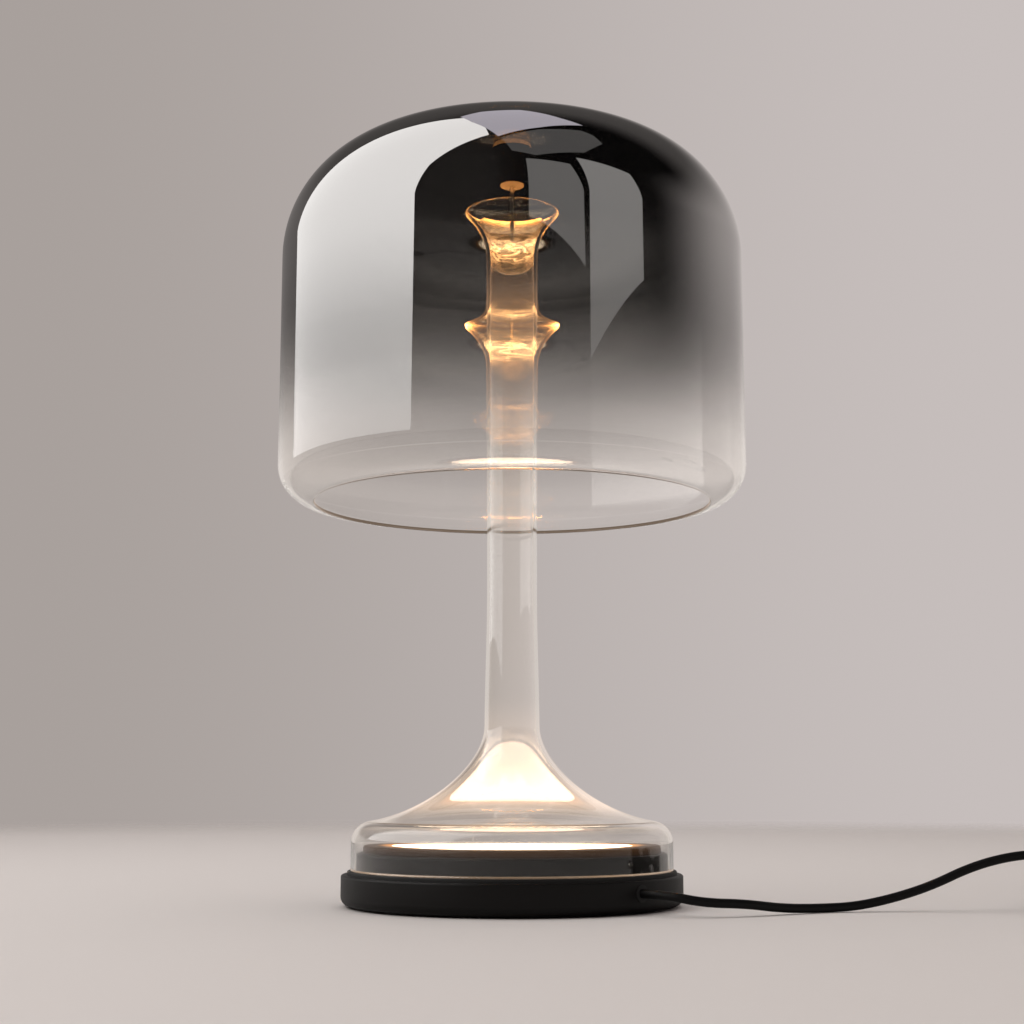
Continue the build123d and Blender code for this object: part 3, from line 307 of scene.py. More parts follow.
def lit_plug():
    """Clear acrylic plug with a painted amber glow for the light it gathers in the tube, painted bright
    strands like those that ripples throw on a pool's floor, and more painted glow at the back."""
    material, tree = new_material("acrylic_plug_lit")
    place = add(tree, "ShaderNodeTexCoord").outputs["Object"]
    flat = add(tree, "ShaderNodeMapping", {"Vector": place, "Scale": (1, 1, 3)}).outputs["Vector"]
    ripple = add(tree, "ShaderNodeTexNoise", {
        "Vector": flat, "Scale": 1 / (11 * MM), "Detail": 2.0, "Distortion": 0.8,
    }).outputs["Fac"]
    off = add(tree, "ShaderNodeMath", {0: ripple, 1: 0.5}, operation="SUBTRACT").outputs[0]
    away = add(tree, "ShaderNodeMath", {0: off}, operation="ABSOLUTE").outputs[0]
    strand = add(tree, "ShaderNodeMapRange", {
        "Value": away, "From Min": 0.0, "From Max": 0.08, "To Min": 5.0, "To Max": 1.0,
    }, interpolation_type="SMOOTHSTEP").outputs["Result"]
    level = by_height(tree, [
        (366, 0.02), (373, 0.03), (376, 0.15), (379, 0.6), (387, 0.75), (390, 0.4),
        (393, 0.12), (396.6, 0.05),
    ])
    # Painted: the glow grows fivefold from the front of the plug to its back
    depth = add(tree, "ShaderNodeSeparateXYZ", {"Vector": place}).outputs["Y"]
    rear = add(tree, "ShaderNodeMapRange", {
        "Value": depth, "From Min": -8 * MM, "From Max": 8 * MM, "To Min": 0.6, "To Max": 3.0,
    }, interpolation_type="SMOOTHSTEP").outputs["Result"]
    lit = add(tree, "ShaderNodeMath", {0: level, 1: rear}, operation="MULTIPLY").outputs[0]
    glow = add(tree, "ShaderNodeMath", {0: strand, 1: lit}, operation="MULTIPLY").outputs[0]
    shade_with(tree, Base_Color=linear("#FFF3E0"), Roughness=0.0, IOR=NEAR_CLEAR, Transmission_Weight=0.97,
               Emission_Color=linear("#FFBE7C"), Emission_Strength=glow)
    return material


def lit_silicone(name, level):
    """Natural silicone, moulded: milky, with a painted amber glow for the light that reaches it."""
    material, tree = new_material(name)
    place = add(tree, "ShaderNodeTexCoord").outputs["Object"]
    cloud = add(tree, "ShaderNodeTexNoise", {
        "Vector": place, "Scale": 1 / (5 * MM), "Detail": 2.0,
    }).outputs["Fac"]
    glow = add(tree, "ShaderNodeMapRange", {
        "Value": cloud, "From Min": NOISE_LOW, "From Max": NOISE_HIGH,
        "To Min": 0.75 * level, "To Max": 1.25 * level,
    }).outputs["Result"]
    shade_with(tree, Base_Color=linear("#E9DDC8"), Roughness=0.4, Emission_Color=linear(AMBER),
               Emission_Strength=glow)
    return material


def metallised_glass():
    """Glass with a vacuum metal film outside: a dark mirror above that fades to clear at the rim, with a
    faint pale glow painted low down that stands in for light the lower glass reflects."""
    material, tree = new_material("glass_vacuum_metallised")
    film = by_height(tree, [
        (226, 0.07), (238, 0.08), (247, 0.1), (268, 0.17), (289, 0.23), (305, 0.34), (318, 0.5),
        (330, 0.64), (345, 0.77), (361, 0.88), (380, 0.94), (395, 0.955), (450, 0.96),
    ])
    dusk = by_height(tree, [
        (240, 0.02), (268, 0.06), (289, 0.25), (305, 0.42), (318, 0.53), (330, 0.58),
        (345, 0.605), (380, 0.625), (450, 0.63),
    ])
    smoke = add(tree, "ShaderNodeMix", {
        "Factor": dusk, 6: linear("#FFFEFD"), 7: linear("#020201"),
    }, data_type="RGBA").outputs[2]
    # Painted: a faint pale glow near the rim, for reflected light
    painted_veil = by_height(tree, [
        (226, 0.06), (248, 0.065), (262, 0.035), (277, 0.008), (290, 0.0), (450, 0.0),
    ])
    shade_with(tree, Base_Color=smoke, Metallic=film, Roughness=0.0, IOR=1.22, Transmission_Weight=1.0,
               Emission_Color=linear("#F6EDE6"), Emission_Strength=painted_veil)
    return material


def lit_opal():
    """Opal acrylic over the LEDs: one even warm white, a little dimmer at its edge."""
    material, tree = new_material("opal_acrylic_lit")
    shade_with(tree, Base_Color=linear("#F6EFE2"), Roughness=0.45, Emission_Color=linear("#FFE3C2"),
               Emission_Strength=by_reach(tree, 0.75 * DIFFUSER_R, DIFFUSER_R, first=8.5, last=5.0))
    return material


def anodised(name):
    """Anodised aluminium: satin black, smoother than the base."""
    return grained(name, "#161311", "#14110F", grain=2.0, gloss=(0.38, 0.42), depth=0.001, shine=0.12)


def zinc_plate(name):
    """Zinc plate on steel: cool, bright, slightly clouded."""
    return grained(name, "#C9CBCD", "#A3A6A9", grain=0.6, gloss=(0.25, 0.4), depth=0.005, metallic=1.0)


def glow_amber(material, strength):
    """Paint that much of the LEDs' amber light onto a grained finish, as glow."""
    shader = material.node_tree.nodes["Principled BSDF"]
    shader.inputs["Emission Color"].default_value = linear(AMBER)
    material.node_tree.links.new(strength, shader.inputs["Emission Strength"])


def lit_bezel():
    """Anodised aluminium with the LEDs' amber spill painted on as glow, by the lens and along its top edge.
    """
    material = anodised("anodised_aluminium_lit")
    tree = material.node_tree
    # Painted spill of light: strong next to the lens, gone 9 mm out, plus a faint band at the top edge
    spill = by_reach(tree, DIFFUSER_R, DIFFUSER_R + SPILL_W, first=0.8, last=0.0)
    edge = by_height(tree, [(29.5, 0.01), (33.6, 0.05)])
    glow_amber(material, add(tree, "ShaderNodeMath", {0: spill, 1: edge}, operation="ADD").outputs[0])
    return material


def lit_stud():
    """Zinc plate with the spacer's glow painted on as a reflection, where the stud runs into the spacer."""
    material = zinc_plate("zinc_plated_stud_lit")
    glow_amber(material, by_height(material.node_tree, [
        (410, 0.0), (415, 0.5), (416.5, 6.0), (418, 7.5), (421, 7.5),
    ]))
    return material


# Each finish says what the real one gives the eye
finish = {
    # Powder coat: matte black with a fine orange peel that catches the side light
    "base_black": grained("powder_coat_black", "#141211", "#0C0B0B",
                          grain=0.8, gloss=(0.42, 0.55), depth=0.02, shine=0.2),
    "module_black": anodised("anodised_aluminium_black"),
    # Cast iron: dull grey with a sandy skin
    "weight_iron": grained("cast_iron", "#565451", "#3B3937",
                           grain=1.2, gloss=(0.6, 0.8), depth=0.08, metallic=0.6),
    "screw_steel": zinc_plate("zinc_plated_steel"),
    # Silicone rubber: dead black, soft edge light
    "pad_rubber": grained("silicone_rubber_black", "#1C1B1B", "#121212",
                          grain=0.6, gloss=(0.65, 0.8), depth=0.01),
    # PVC jacket: black, smooth, with a low sheen along its top
    "cord_black": grained("pvc_jacket_black", "#0D0C0C", "#090808",
                          grain=0.7, gloss=(0.42, 0.52), depth=0.006, shine=0.2),
    # Nylon: ivory white, moulded, slightly waxy
    "inner_white": grained("nylon_white", "#E6E3DC", "#D8D4CB",
                           grain=1.0, gloss=(0.4, 0.5), depth=0.01),
    # PVC insulation: plain red
    "lead_red": grained("pvc_insulation_red", "#B52A22", "#94201A",
                        grain=0.6, gloss=(0.35, 0.45), depth=0.005),
    # Solder mask on an aluminium board: white and even
    "board_white": grained("solder_mask_white", "#EFEEEA", "#E2E0DA",
                           grain=0.8, gloss=(0.35, 0.45), depth=0.004),
    # Phosphor: the yellow face of an LED chip
    "chip_yellow": grained("phosphor_silicone", "#F2C84B", "#DDAE2E",
                           grain=0.3, gloss=(0.3, 0.4), depth=0.004),
    "opal": lit_opal(),
    # Clear blown glass with a painted glow by height: faint in the flare, amber at the mouth, brightest at
    # the lip
    "clear_glass": blown_glass("borosilicate_glass_blown", painted_glow=[
        (30, 0.0), (47, 0.01), (51, 0.05), (55, 0.12), (60, 0.11), (67, 0.07), (75, 0.04), (95, 0.03),
        (120, 0.004), (325, 0.004), (340, 0.06), (356, 0.08), (372, 0.03), (390, 0.05), (397, 0.15),
        (400.5, 1.5), (402.5, 20.0), (406, 24.0),
    ], edge=[
        (30, 0.0), (45, 0.1), (80, 0.1), (120, 0.0), (300, 0.0), (345, 0.8), (372, 3.0), (395, 5.0),
        (406, 14.0),
    ]),
    "mirror_glass": metallised_glass(),
    # Black nickel plate: a dark mirror that picks up the amber below it
    "holder_black": grained("black_nickel_plate", "#4E4844", "#3C3733",
                            grain=0.5, gloss=(0.16, 0.24), depth=0.003, metallic=1.0),
    # Silicone spacer with a painted amber glow
    "spacer_opal": lit_silicone("silicone_natural_lit", level=7.5),
    # ABS: black, with a fine spark texture from its mould
    "switch_black": grained("abs_black", "#232323", "#171717",
                            grain=0.45, gloss=(0.4, 0.52), depth=0.015),
    # Brass: bright, warm
    "contact_brass": grained("brass", "#D9B45E", "#C09A48",
                             grain=0.5, gloss=(0.2, 0.3), depth=0.003, metallic=1.0),
    # Nickel plate: bright, faintly warm
    "pin_nickel": grained("nickel_plate", "#D6D1C9", "#BFB9B0",
                          grain=0.5, gloss=(0.12, 0.2), depth=0.002, metallic=1.0),
}
for part in frame["record"]["subparts"]:
    for place in nodes[part["node"]].material_slots:
        place.material = finish[part["material_slot"]]
# The stud gets a painted reflection of the spacer's glow
nodes["holder_stud"].material_slots[0].material = lit_stud()


# Ways of making pieces

WELD = 0.002                   # mm within which points are one point
NEAR = 0.01                    # mm within which an edge lies on a circle
LEVEL = 0.001                  # mm within which an edge is level
LIP_SHARE = 0.46               # of the wall's thickness, rounded at each side of a lip
LIP_ANGLE = radians(60)        # corners sharper than this are a lip's
LIP_SEGMENTS = 4
EDGE_SEGMENTS = 5


def keep_piece(name, bm, slot, *replaced, body="lamp", materials=()):
    """Turn a bmesh into a piece that stands for CAD nodes."""
    mesh = bpy.data.meshes.new(name)
    for face in bm.faces:
        face.smooth = True
    bm.to_mesh(mesh)
    bm.free()
    for material in materials or [finish[slot]]:
        mesh.materials.append(material)
    piece = bpy.data.objects.new(name, mesh)
    scene.collection.objects.link(piece)
    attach(piece, body)
    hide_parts(*replaced)
    return piece


def spin_about_axis(bm, steps):
    """Spin what is drawn in XZ once round the lamp's axis, and close its seam and poles."""
    bmesh.ops.spin(bm, geom=bm.verts[:] + bm.edges[:], cent=(0, 0, 0), axis=(0, 0, 1), dvec=(0, 0, 0),
                   angle=tau, steps=steps, use_merge=True)
    bmesh.ops.remove_doubles(bm, verts=bm.verts[:], dist=WELD * MM)
    bmesh.ops.dissolve_degenerate(bm, edges=bm.edges[:], dist=WELD * MM)
    bmesh.ops.recalc_face_normals(bm, faces=bm.faces[:])


def ring_edges(bm, radius, height):
    """Edges of the circle of that radius at that height, in mm."""
    return [
        edge for edge in bm.edges
        if all(
            abs(hypot(v.co.x, v.co.y) - radius * MM) < NEAR * MM and abs(v.co.z - height * MM) < NEAR * MM
            for v in edge.verts
        )
    ]


def turned(outline, rounds, steps):
    """Turn an outline of (radius, height) corners in mm, then round the corners that rounds names."""
    bm = bmesh.new()
    corners = [bm.verts.new((r * MM, 0, z * MM)) for r, z in outline]
    for a, b in zip(corners, corners[1:]):
        bm.edges.new((a, b))
    if outline[0][0] or outline[-1][0]:
        bm.edges.new((corners[-1], corners[0]))
    spin_about_axis(bm, steps)
    for radius, height, size in rounds:
        bmesh.ops.bevel(bm, geom=ring_edges(bm, radius, height), offset=size * MM, offset_type="OFFSET",
                        segments=EDGE_SEGMENTS, profile=0.5, affect="EDGES", material=-1,
                        clamp_overlap=True)
    return bm


def sharp_by_angle(piece, degrees=40):
    """Smooth shading that keeps the piece's real corners."""
    piece.data.set_sharp_from_angle(angle=radians(degrees))


def bend(bm, vert, centre, angle, steps):
    """Carry a profile on from a vertex, along an arc about a centre in XZ, and return its end."""
    made = bmesh.ops.spin(bm, geom=[vert], cent=(centre[0] * MM, 0, centre[1] * MM), axis=(0, 1, 0),
                          dvec=(0, 0, 0), angle=angle, steps=steps)
    return [v for v in made["geom_last"] if isinstance(v, bmesh.types.BMVert)][0]


def drawn_profile(knots, resolution):
    """Wire mesh along Bezier knots of (handle before, point, handle after), in XZ and mm."""
    curve = bpy.data.curves.new("profile", "CURVE")
    curve.dimensions = "3D"
    curve.resolution_u = resolution
    spline = curve.splines.new("BEZIER")
    spline.bezier_points.add(len(knots) - 1)
    for point, (before, at, after) in zip(spline.bezier_points, knots):
        point.handle_left_type = "FREE"
        point.handle_right_type = "FREE"
        point.co = (at[0] * MM, 0, at[1] * MM)
        point.handle_left = (before[0] * MM, 0, before[1] * MM)
        point.handle_right = (after[0] * MM, 0, after[1] * MM)
    drawing = bpy.data.objects.new("profile", curve)
    wire = bpy.data.meshes.new_from_object(drawing)
    bm = bmesh.new()
    bm.from_mesh(wire)
    bpy.data.objects.remove(drawing)
    bpy.data.curves.remove(curve)
    bpy.data.meshes.remove(wire)
    return bm


def thicken(bm, wall, lips):
    """Give a blown shell its wall, inwards from the drawn face, then fire polish its lips."""
    outwards = sum(face.calc_center_median().xy.dot(face.normal.xy) for face in bm.faces)
    if outwards < 0:
        bmesh.ops.reverse_faces(bm, faces=bm.faces[:])
    bmesh.ops.solidify(bm, geom=bm.faces[:], thickness=wall * MM)
    bmesh.ops.recalc_face_normals(bm, faces=bm.faces[:])
    for height in lips:
        corners = [
            edge for edge in bm.edges
            if abs(edge.verts[0].co.z - edge.verts[1].co.z) < LEVEL * MM
            and abs(edge.verts[0].co.z - height * MM) < wall * MM
            and edge.calc_face_angle(0) > LIP_ANGLE
        ]
        bmesh.ops.bevel(bm, geom=corners, offset=wall * LIP_SHARE * MM, offset_type="OFFSET",
                        segments=LIP_SEGMENTS, profile=0.5, affect="EDGES", material=-1,
                        clamp_overlap=True)


# Camera, at the height and angle of the photograph
camera = bpy.data.objects.new("camera", bpy.data.cameras.new("camera"))
scene.collection.objects.link(camera)
camera.location = (0, -0.9613, 0.0695)
camera.rotation_euler = (radians(99.057), 0, 0)
camera.data.sensor_width = 36
camera.data.lens = 59.06
camera.data.clip_start = 0.01
scene.camera = camera


# Cords

def lay_cord(name, route, slot="cord_black"):
    """A round cord along a route in mm, on one smooth line."""
    curve = bpy.data.curves.new(name, "CURVE")
    curve.dimensions = "3D"
    curve.bevel_depth = CORD_D / 2 * MM
    curve.bevel_resolution = 5
    curve.resolution_u = 8
    curve.use_fill_caps = True
    spline = curve.splines.new("NURBS")
    spline.points.add(len(route) - 1)
    for point, (x, y, z) in zip(spline.points, route):
        point.co = (x * MM, y * MM, z * MM, 1)
    spline.order_u = 3
    spline.use_endpoint_u = True
    curve.materials.append(finish[slot])
    cord = bpy.data.objects.new(name, curve)
    scene.collection.objects.link(cord)
    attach(cord, "lamp")
    return cord


SUPPLY_ROUTE = [
    (67.953, -67.953, 11),
    (79, -79, 11),
    (98, -84.5, 7.5),
    (120, -77, 6.5),
    (141, -64, 3.3),
    (162, -52, 2.4),
    (183, -45, 2.9),
    (204, -42, 7),
    (225, -41, 13.5),
    (246, -41, 23.2),
    (268, -41, 29.1),
    (290, -40, 30.4),
    (322, -38, 30.4),
    (351, -37.5, 28),
    (379, -35, 22.5),
    (404, -29, 16),
    (421.5, -17, 11.5),
    (430, 0, 9),
    (430, 17, 9),
]
LINK_ROUTE = [
    (430, 115, 9),
    (430, 127, 9),
    (430, 140, 3.7),
    (430, 151.2, 3.7),
]
PLUG_ROUTE = [
    (352.8, 151.2, 9),
    (352.8, 139, 9),
    (351, 122, 5),
    (346, 103, 2.6),
    (337.5, 84, 2.5),
    (326.5, 66, 5),
    (316, 49, 10),
    (309, 32, 13.5),
    (309, 17, 13.5),
]
COIL_AT = (391.4, 156.0)
COIL_IN_R = 20.0
COIL_PITCH = 6.2
COIL_TURNS = 6.5
COIL_CLIMB = 0.5               # of a turn, from one layer to the other
COIL_LOW_Z = 3.7
COIL_HIGH_Z = 9.0
COIL_POINTS = 16               # in a turn


def coil_route():
    """Two layers of turns, wound in and then out again, with half a turn of climb between them."""
    points = []
    for i in range(int(COIL_TURNS * COIL_POINTS) + 1):
        turn = i / COIL_POINTS
        past_middle = turn - COIL_TURNS / 2
        radius = COIL_IN_R + COIL_PITCH * max(0, abs(past_middle) - COIL_CLIMB / 2)
        climb = min(1, max(0, (past_middle + COIL_CLIMB / 2) / COIL_CLIMB))
        rise = climb * climb * (3 - 2 * climb)
        points.append((
            COIL_AT[0] + radius * cos(tau * turn),
            COIL_AT[1] + radius * sin(tau * turn),
            COIL_LOW_Z + (COIL_HIGH_Z - COIL_LOW_Z) * rise,
        ))
    return points


supply_cord = lay_cord("supply_cord_jacket", SUPPLY_ROUTE)
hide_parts("supply_cord")
plug_cord = lay_cord("plug_cord_jacket", LINK_ROUTE + coil_route() + PLUG_ROUTE)
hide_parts("cord_link", "cord_coil", "plug_lead")


# Dome: crown, shoulder, side and drawn-in rim on one profile, then its wall

dome_inside = blown_glass("borosilicate_glass_clear", ior=1.22)
# The rim's lip: brown-tinted glass with a faint painted glow
dome_lip = blown_glass("borosilicate_glass_lip", painted_glow=[(225, 0.1), (232, 0.1)],
                       edge=[(225, 0.0), (232, 0.1)], ior=1.12, tint="#E2CDBE")
dome_glass = [finish["mirror_glass"], dome_inside, dome_lip]
MIRROR, INSIDE, LIP = range(len(dome_glass))
LIP_W = 0.6                    # mm that the lip's finish goes outwards from the rim's edge


def make_dome():
    bm = bmesh.new()
    crown_z = APEX_Z - CROWN_R
    shoulder_x = DOME_R - DOME_SHOULDER_R
    shoulder_z = crown_z + sqrt((CROWN_R - DOME_SHOULDER_R) ** 2 - shoulder_x ** 2)
    lean = asin(shoulder_x / (CROWN_R - DOME_SHOULDER_R))
    apex = bm.verts.new((0, 0, APEX_Z * MM))
    meet = bend(bm, apex, (0, crown_z), lean, CROWN_STEPS)
    side_top = bend(bm, meet, (shoulder_x, shoulder_z), pi / 2 - lean, DOME_SHOULDER_STEPS)
    side = bmesh.ops.extrude_vert_indiv(bm, verts=[side_top])
    side_low = side["verts"][0]
    side_low.co.z = (RIM_Z + RIM_BEND) * MM
    bend(bm, side_low, (DOME_R - RIM_BEND, RIM_Z + RIM_BEND), pi / 2, RIM_STEPS)
    spin_about_axis(bm, DOME_STEPS)
    thicken(bm, DOME_T, [RIM_Z])
    lip_r = DOME_R - RIM_BEND + LIP_W
    lip_top = RIM_Z + 2 * DOME_T
    for face in bm.faces:
        middle = face.calc_center_median()
        if hypot(middle.x, middle.y) < lip_r * MM and middle.z < lip_top * MM:
            face.material_index = LIP
        elif middle.dot(face.normal) > 0:
            face.material_index = MIRROR
        else:
            face.material_index = INSIDE
    return keep_piece("dome", bm, "mirror_glass", "glass_dome", body="shade", materials=dome_glass)


dome = make_dome()


# Stem: foot wall, bell shoulder, flare, tube and trumpet mouth on one drawn profile

# The foot's bottom edge: a painted glow line for the light it catches
stem_foot = blown_glass("borosilicate_glass_foot", painted_glow=[(19, 0.06), (21, 0.06)],
                        edge=[(19, 0.0), (21, 0.1)])
stem_glass = [finish["clear_glass"], stem_foot]
WALL, FOOT = range(len(stem_glass))


def make_stem():
    drop = radians(SHOULDER_DROP)
    start = (FOOT_R - SHOULDER_BEND * (1 - sin(drop)), SHOULDER_Z)
    bend_z = SHOULDER_Z - SHOULDER_BEND * cos(drop)
    grip = 4 / 3 * tan((pi / 2 - drop) / 4) * SHOULDER_BEND
    knots = [
        ((FOOT_R, SEAT_TOP), (FOOT_R, SEAT_TOP), (FOOT_R, SEAT_TOP + FOOT_REACH)),
        ((FOOT_R, bend_z - FOOT_REACH), (FOOT_R, bend_z), (FOOT_R, bend_z + grip)),
        ((start[0] + grip * cos(drop), start[1] - grip * sin(drop)), start, FLARE_HANDLE),
        ((NECK_R, NECK_Z - NECK_REACH), (NECK_R, NECK_Z), (NECK_R, NECK_Z + NECK_REACH)),
        ((TUBE_R, TUBE_Z - TAPER_REACH), (TUBE_R, TUBE_Z), (TUBE_R + TUBE_SPREAD, TUBE_Z + TUBE_REACH)),
        ((TUBE_TOP_R - TUBE_SPREAD, TUBE_TOP - TUBE_REACH), (TUBE_TOP_R, TUBE_TOP),
         (TUBE_TOP_R, TUBE_TOP + MOUTH_REACH)),
        (MOUTH_HANDLE, (MOUTH_R, STEM_TOP), (MOUTH_R, STEM_TOP)),
    ]
    bm = drawn_profile(knots, STEM_CURVE_STEPS)
    spin_about_axis(bm, STEM_STEPS)
    thicken(bm, GLASS_T, [STEM_TOP, SEAT_TOP])
    for face in bm.faces:
        in_seat = face.calc_center_median().z < (SEAT_TOP + GLASS_T / 2) * MM
        face.material_index = FOOT if in_seat else WALL
    return keep_piece("stem", bm, "clear_glass", "glass_stem", materials=stem_glass)


stem = make_stem()


# Base, light module and holder, turned

def make_base():
    housing = turned([
        (BASE_R, BASE_LIFT), (BASE_R, BASE_TOP), (WIRE_HOLE_R, BASE_TOP), (WIRE_HOLE_R, CAVITY_TOP),
        (CAVITY_R, CAVITY_TOP), (CAVITY_R, PLATE_TOP), (PLATE_R, PLATE_TOP), (PLATE_R, BASE_LIFT),
    ], [(BASE_R, BASE_LIFT, BASE_EDGE), (BASE_R, BASE_TOP, BASE_TOP_EDGE)], BASE_STEPS)
    sharp_by_angle(keep_piece("base_shell", housing, "base_black", "base_housing"))
    ring = turned([
        (SEAT_R, BASE_TOP), (SEAT_R, SEAT_TOP), (SEAT_IN_R, SEAT_TOP), (SEAT_IN_R, BASE_TOP),
    ], [(SEAT_R, SEAT_TOP, SEAT_EDGE)], BASE_STEPS)
    sharp_by_angle(keep_piece("seat_gasket", ring, "pad_rubber", "seat_ring"))
    sink = turned([
        (SINK_R, BASE_TOP), (SINK_R, SINK_TOP), (BOARD_R, SINK_TOP), (BOARD_R, BOARD_Z),
        (WIRE_HOLE_R, BOARD_Z), (WIRE_HOLE_R, BASE_TOP),
    ], [(SINK_R, SINK_TOP, SINK_EDGE)], BASE_STEPS)
    sharp_by_angle(keep_piece("heat_sink_turned", sink, "module_black", "heat_sink"))
    bezel = turned([
        (BEZEL_R, SINK_TOP), (BEZEL_R, BEZEL_TOP), (BEZEL_IN_R, BEZEL_TOP), (BEZEL_IN_R, BEZEL_STEP_Z),
        (BEZEL_STEP_R, BEZEL_STEP_Z), (BEZEL_STEP_R, SINK_TOP),
    ], [(BEZEL_R, BEZEL_TOP, BEZEL_EDGE), (BEZEL_IN_R, BEZEL_TOP, BEZEL_IN_EDGE)], BASE_STEPS)
    sharp_by_angle(keep_piece("bezel_turned", bezel, "module_black", "bezel_ring", materials=[lit_bezel()]))
    lens = turned([
        (0, SINK_TOP), (FLANGE_R, SINK_TOP), (FLANGE_R, FLANGE_TOP), (DIFFUSER_R, FLANGE_TOP),
        (DIFFUSER_R, DIFFUSER_TOP), (0, DIFFUSER_TOP),
    ], [(DIFFUSER_R, DIFFUSER_TOP, DIFFUSER_EDGE)], LENS_STEPS)
    sharp_by_angle(keep_piece("diffuser_lens", lens, "opal", "diffuser"))


def make_holder():
    lower = turned([
        (STUD_HOLE, PLUG_TOP), (POST_LOWER_R, PLUG_TOP), (POST_LOWER_R, SPACER_Z), (STUD_HOLE, SPACER_Z),
    ], [], POST_STEPS)
    sharp_by_angle(keep_piece("post_lower", lower, "clear_glass", "holder_post_lower",
                              materials=[blown_glass("acrylic_post_clear", ior=NEAR_CLEAR)]))
    spacer = turned([
        (STUD_HOLE, SPACER_Z), (SPACER_R, SPACER_Z), (SPACER_R, SPACER_TOP), (STUD_HOLE, SPACER_TOP),
    ], [(SPACER_R, SPACER_Z, SMALL_EDGE), (SPACER_R, SPACER_TOP, SMALL_EDGE)], HOLDER_STEPS)
    sharp_by_angle(keep_piece("spacer_ring", spacer, "spacer_opal", "holder_spacer"))
    upper = turned([
        (STUD_HOLE, SPACER_TOP), (POST_UPPER_R, SPACER_TOP), (POST_UPPER_R, HEAD_Z), (STUD_HOLE, HEAD_Z),
    ], [(POST_UPPER_R, SPACER_TOP, SMALL_EDGE)], HOLDER_STEPS)
    sharp_by_angle(keep_piece("post_upper", upper, "holder_black", "holder_post_upper"))
    head = turned([
        (0, HEAD_Z), (HEAD_LOW_R, HEAD_Z), (HEAD_R, HEAD_TOP), (0, HEAD_TOP),
    ], [(HEAD_LOW_R, HEAD_Z, HEAD_EDGE), (HEAD_R, HEAD_TOP, HEAD_EDGE)], HOLDER_STEPS)
    sharp_by_angle(keep_piece("head_cone", head, "holder_black", "holder_head"))
    # The ceiling pad gets the same painted amber glow, weaker
    pad = turned([
        (0, HEAD_TOP), (PAD_R, HEAD_TOP), (PAD_R, PAD_SIDE_TOP), (0, PAD_TOP),
    ], [(PAD_R, HEAD_TOP, SMALL_EDGE), (PAD_R, PAD_SIDE_TOP, PAD_TOP_EDGE)], HOLDER_STEPS)
    sharp_by_angle(keep_piece("ceiling_pad", pad, "spacer_opal", "holder_pad",
                              materials=[lit_silicone("silicone_pad_lit", level=5.0)]))
    plug = drawn_profile([
        ((0, PLUG_LOW), (0, PLUG_LOW), (PLUG_LOW_REACH, PLUG_LOW)),
        ((PLUG_R, TUBE_TOP - PLUG_BEND_REACH), (PLUG_R, TUBE_TOP), (PLUG_R, TUBE_TOP + PLUG_SIDE_REACH)),
        (PLUG_HANDLE, (PLUG_TOP_R, PLUG_TOP), (PLUG_TOP_R, PLUG_TOP)),
        ((PLUG_TOP_REACH, PLUG_TOP), (0, PLUG_TOP), (0, PLUG_TOP)),
    ], PLUG_CURVE_STEPS)
    spin_about_axis(plug, PLUG_STEPS)
    sharp_by_angle(keep_piece("mouth_plug", plug, "clear_glass", "holder_plug", materials=[lit_plug()]),
                   degrees=50)


make_base()
make_holder()


# Floor, pale and fading out into the backdrop, in metres

FLOOR_R = 2.4
FADE_IN_R = 1.25
FADE_OUT_R = 2.1


def make_floor():
    material, tree = new_material("studio_table_pale")
    place = add(tree, "ShaderNodeTexCoord").outputs["Object"]
    reach = add(tree, "ShaderNodeVectorMath", {0: place}, operation="LENGTH").outputs["Value"]
    seen = add(tree, "ShaderNodeMapRange", {
        "Value": reach, "From Min": FADE_IN_R, "From Max": FADE_OUT_R, "To Min": 1.0, "To Max": 0.0,
    }, interpolation_type="SMOOTHSTEP").outputs["Result"]
    shade_with(tree, Base_Color=linear("#E0DAD6"), Roughness=0.75, Alpha=seen)
    bm = bmesh.new()
    bmesh.ops.create_circle(bm, cap_ends=True, radius=FLOOR_R, segments=96)
    mesh = bpy.data.meshes.new("floor")
    bm.to_mesh(mesh)
    bm.free()
    mesh.materials.append(material)
    floor = bpy.data.objects.new("floor", mesh)
    scene.collection.objects.link(floor)


make_floor()


# World: the pale backdrop, and for what mirrors show, a dim studio that is dark towards the camera

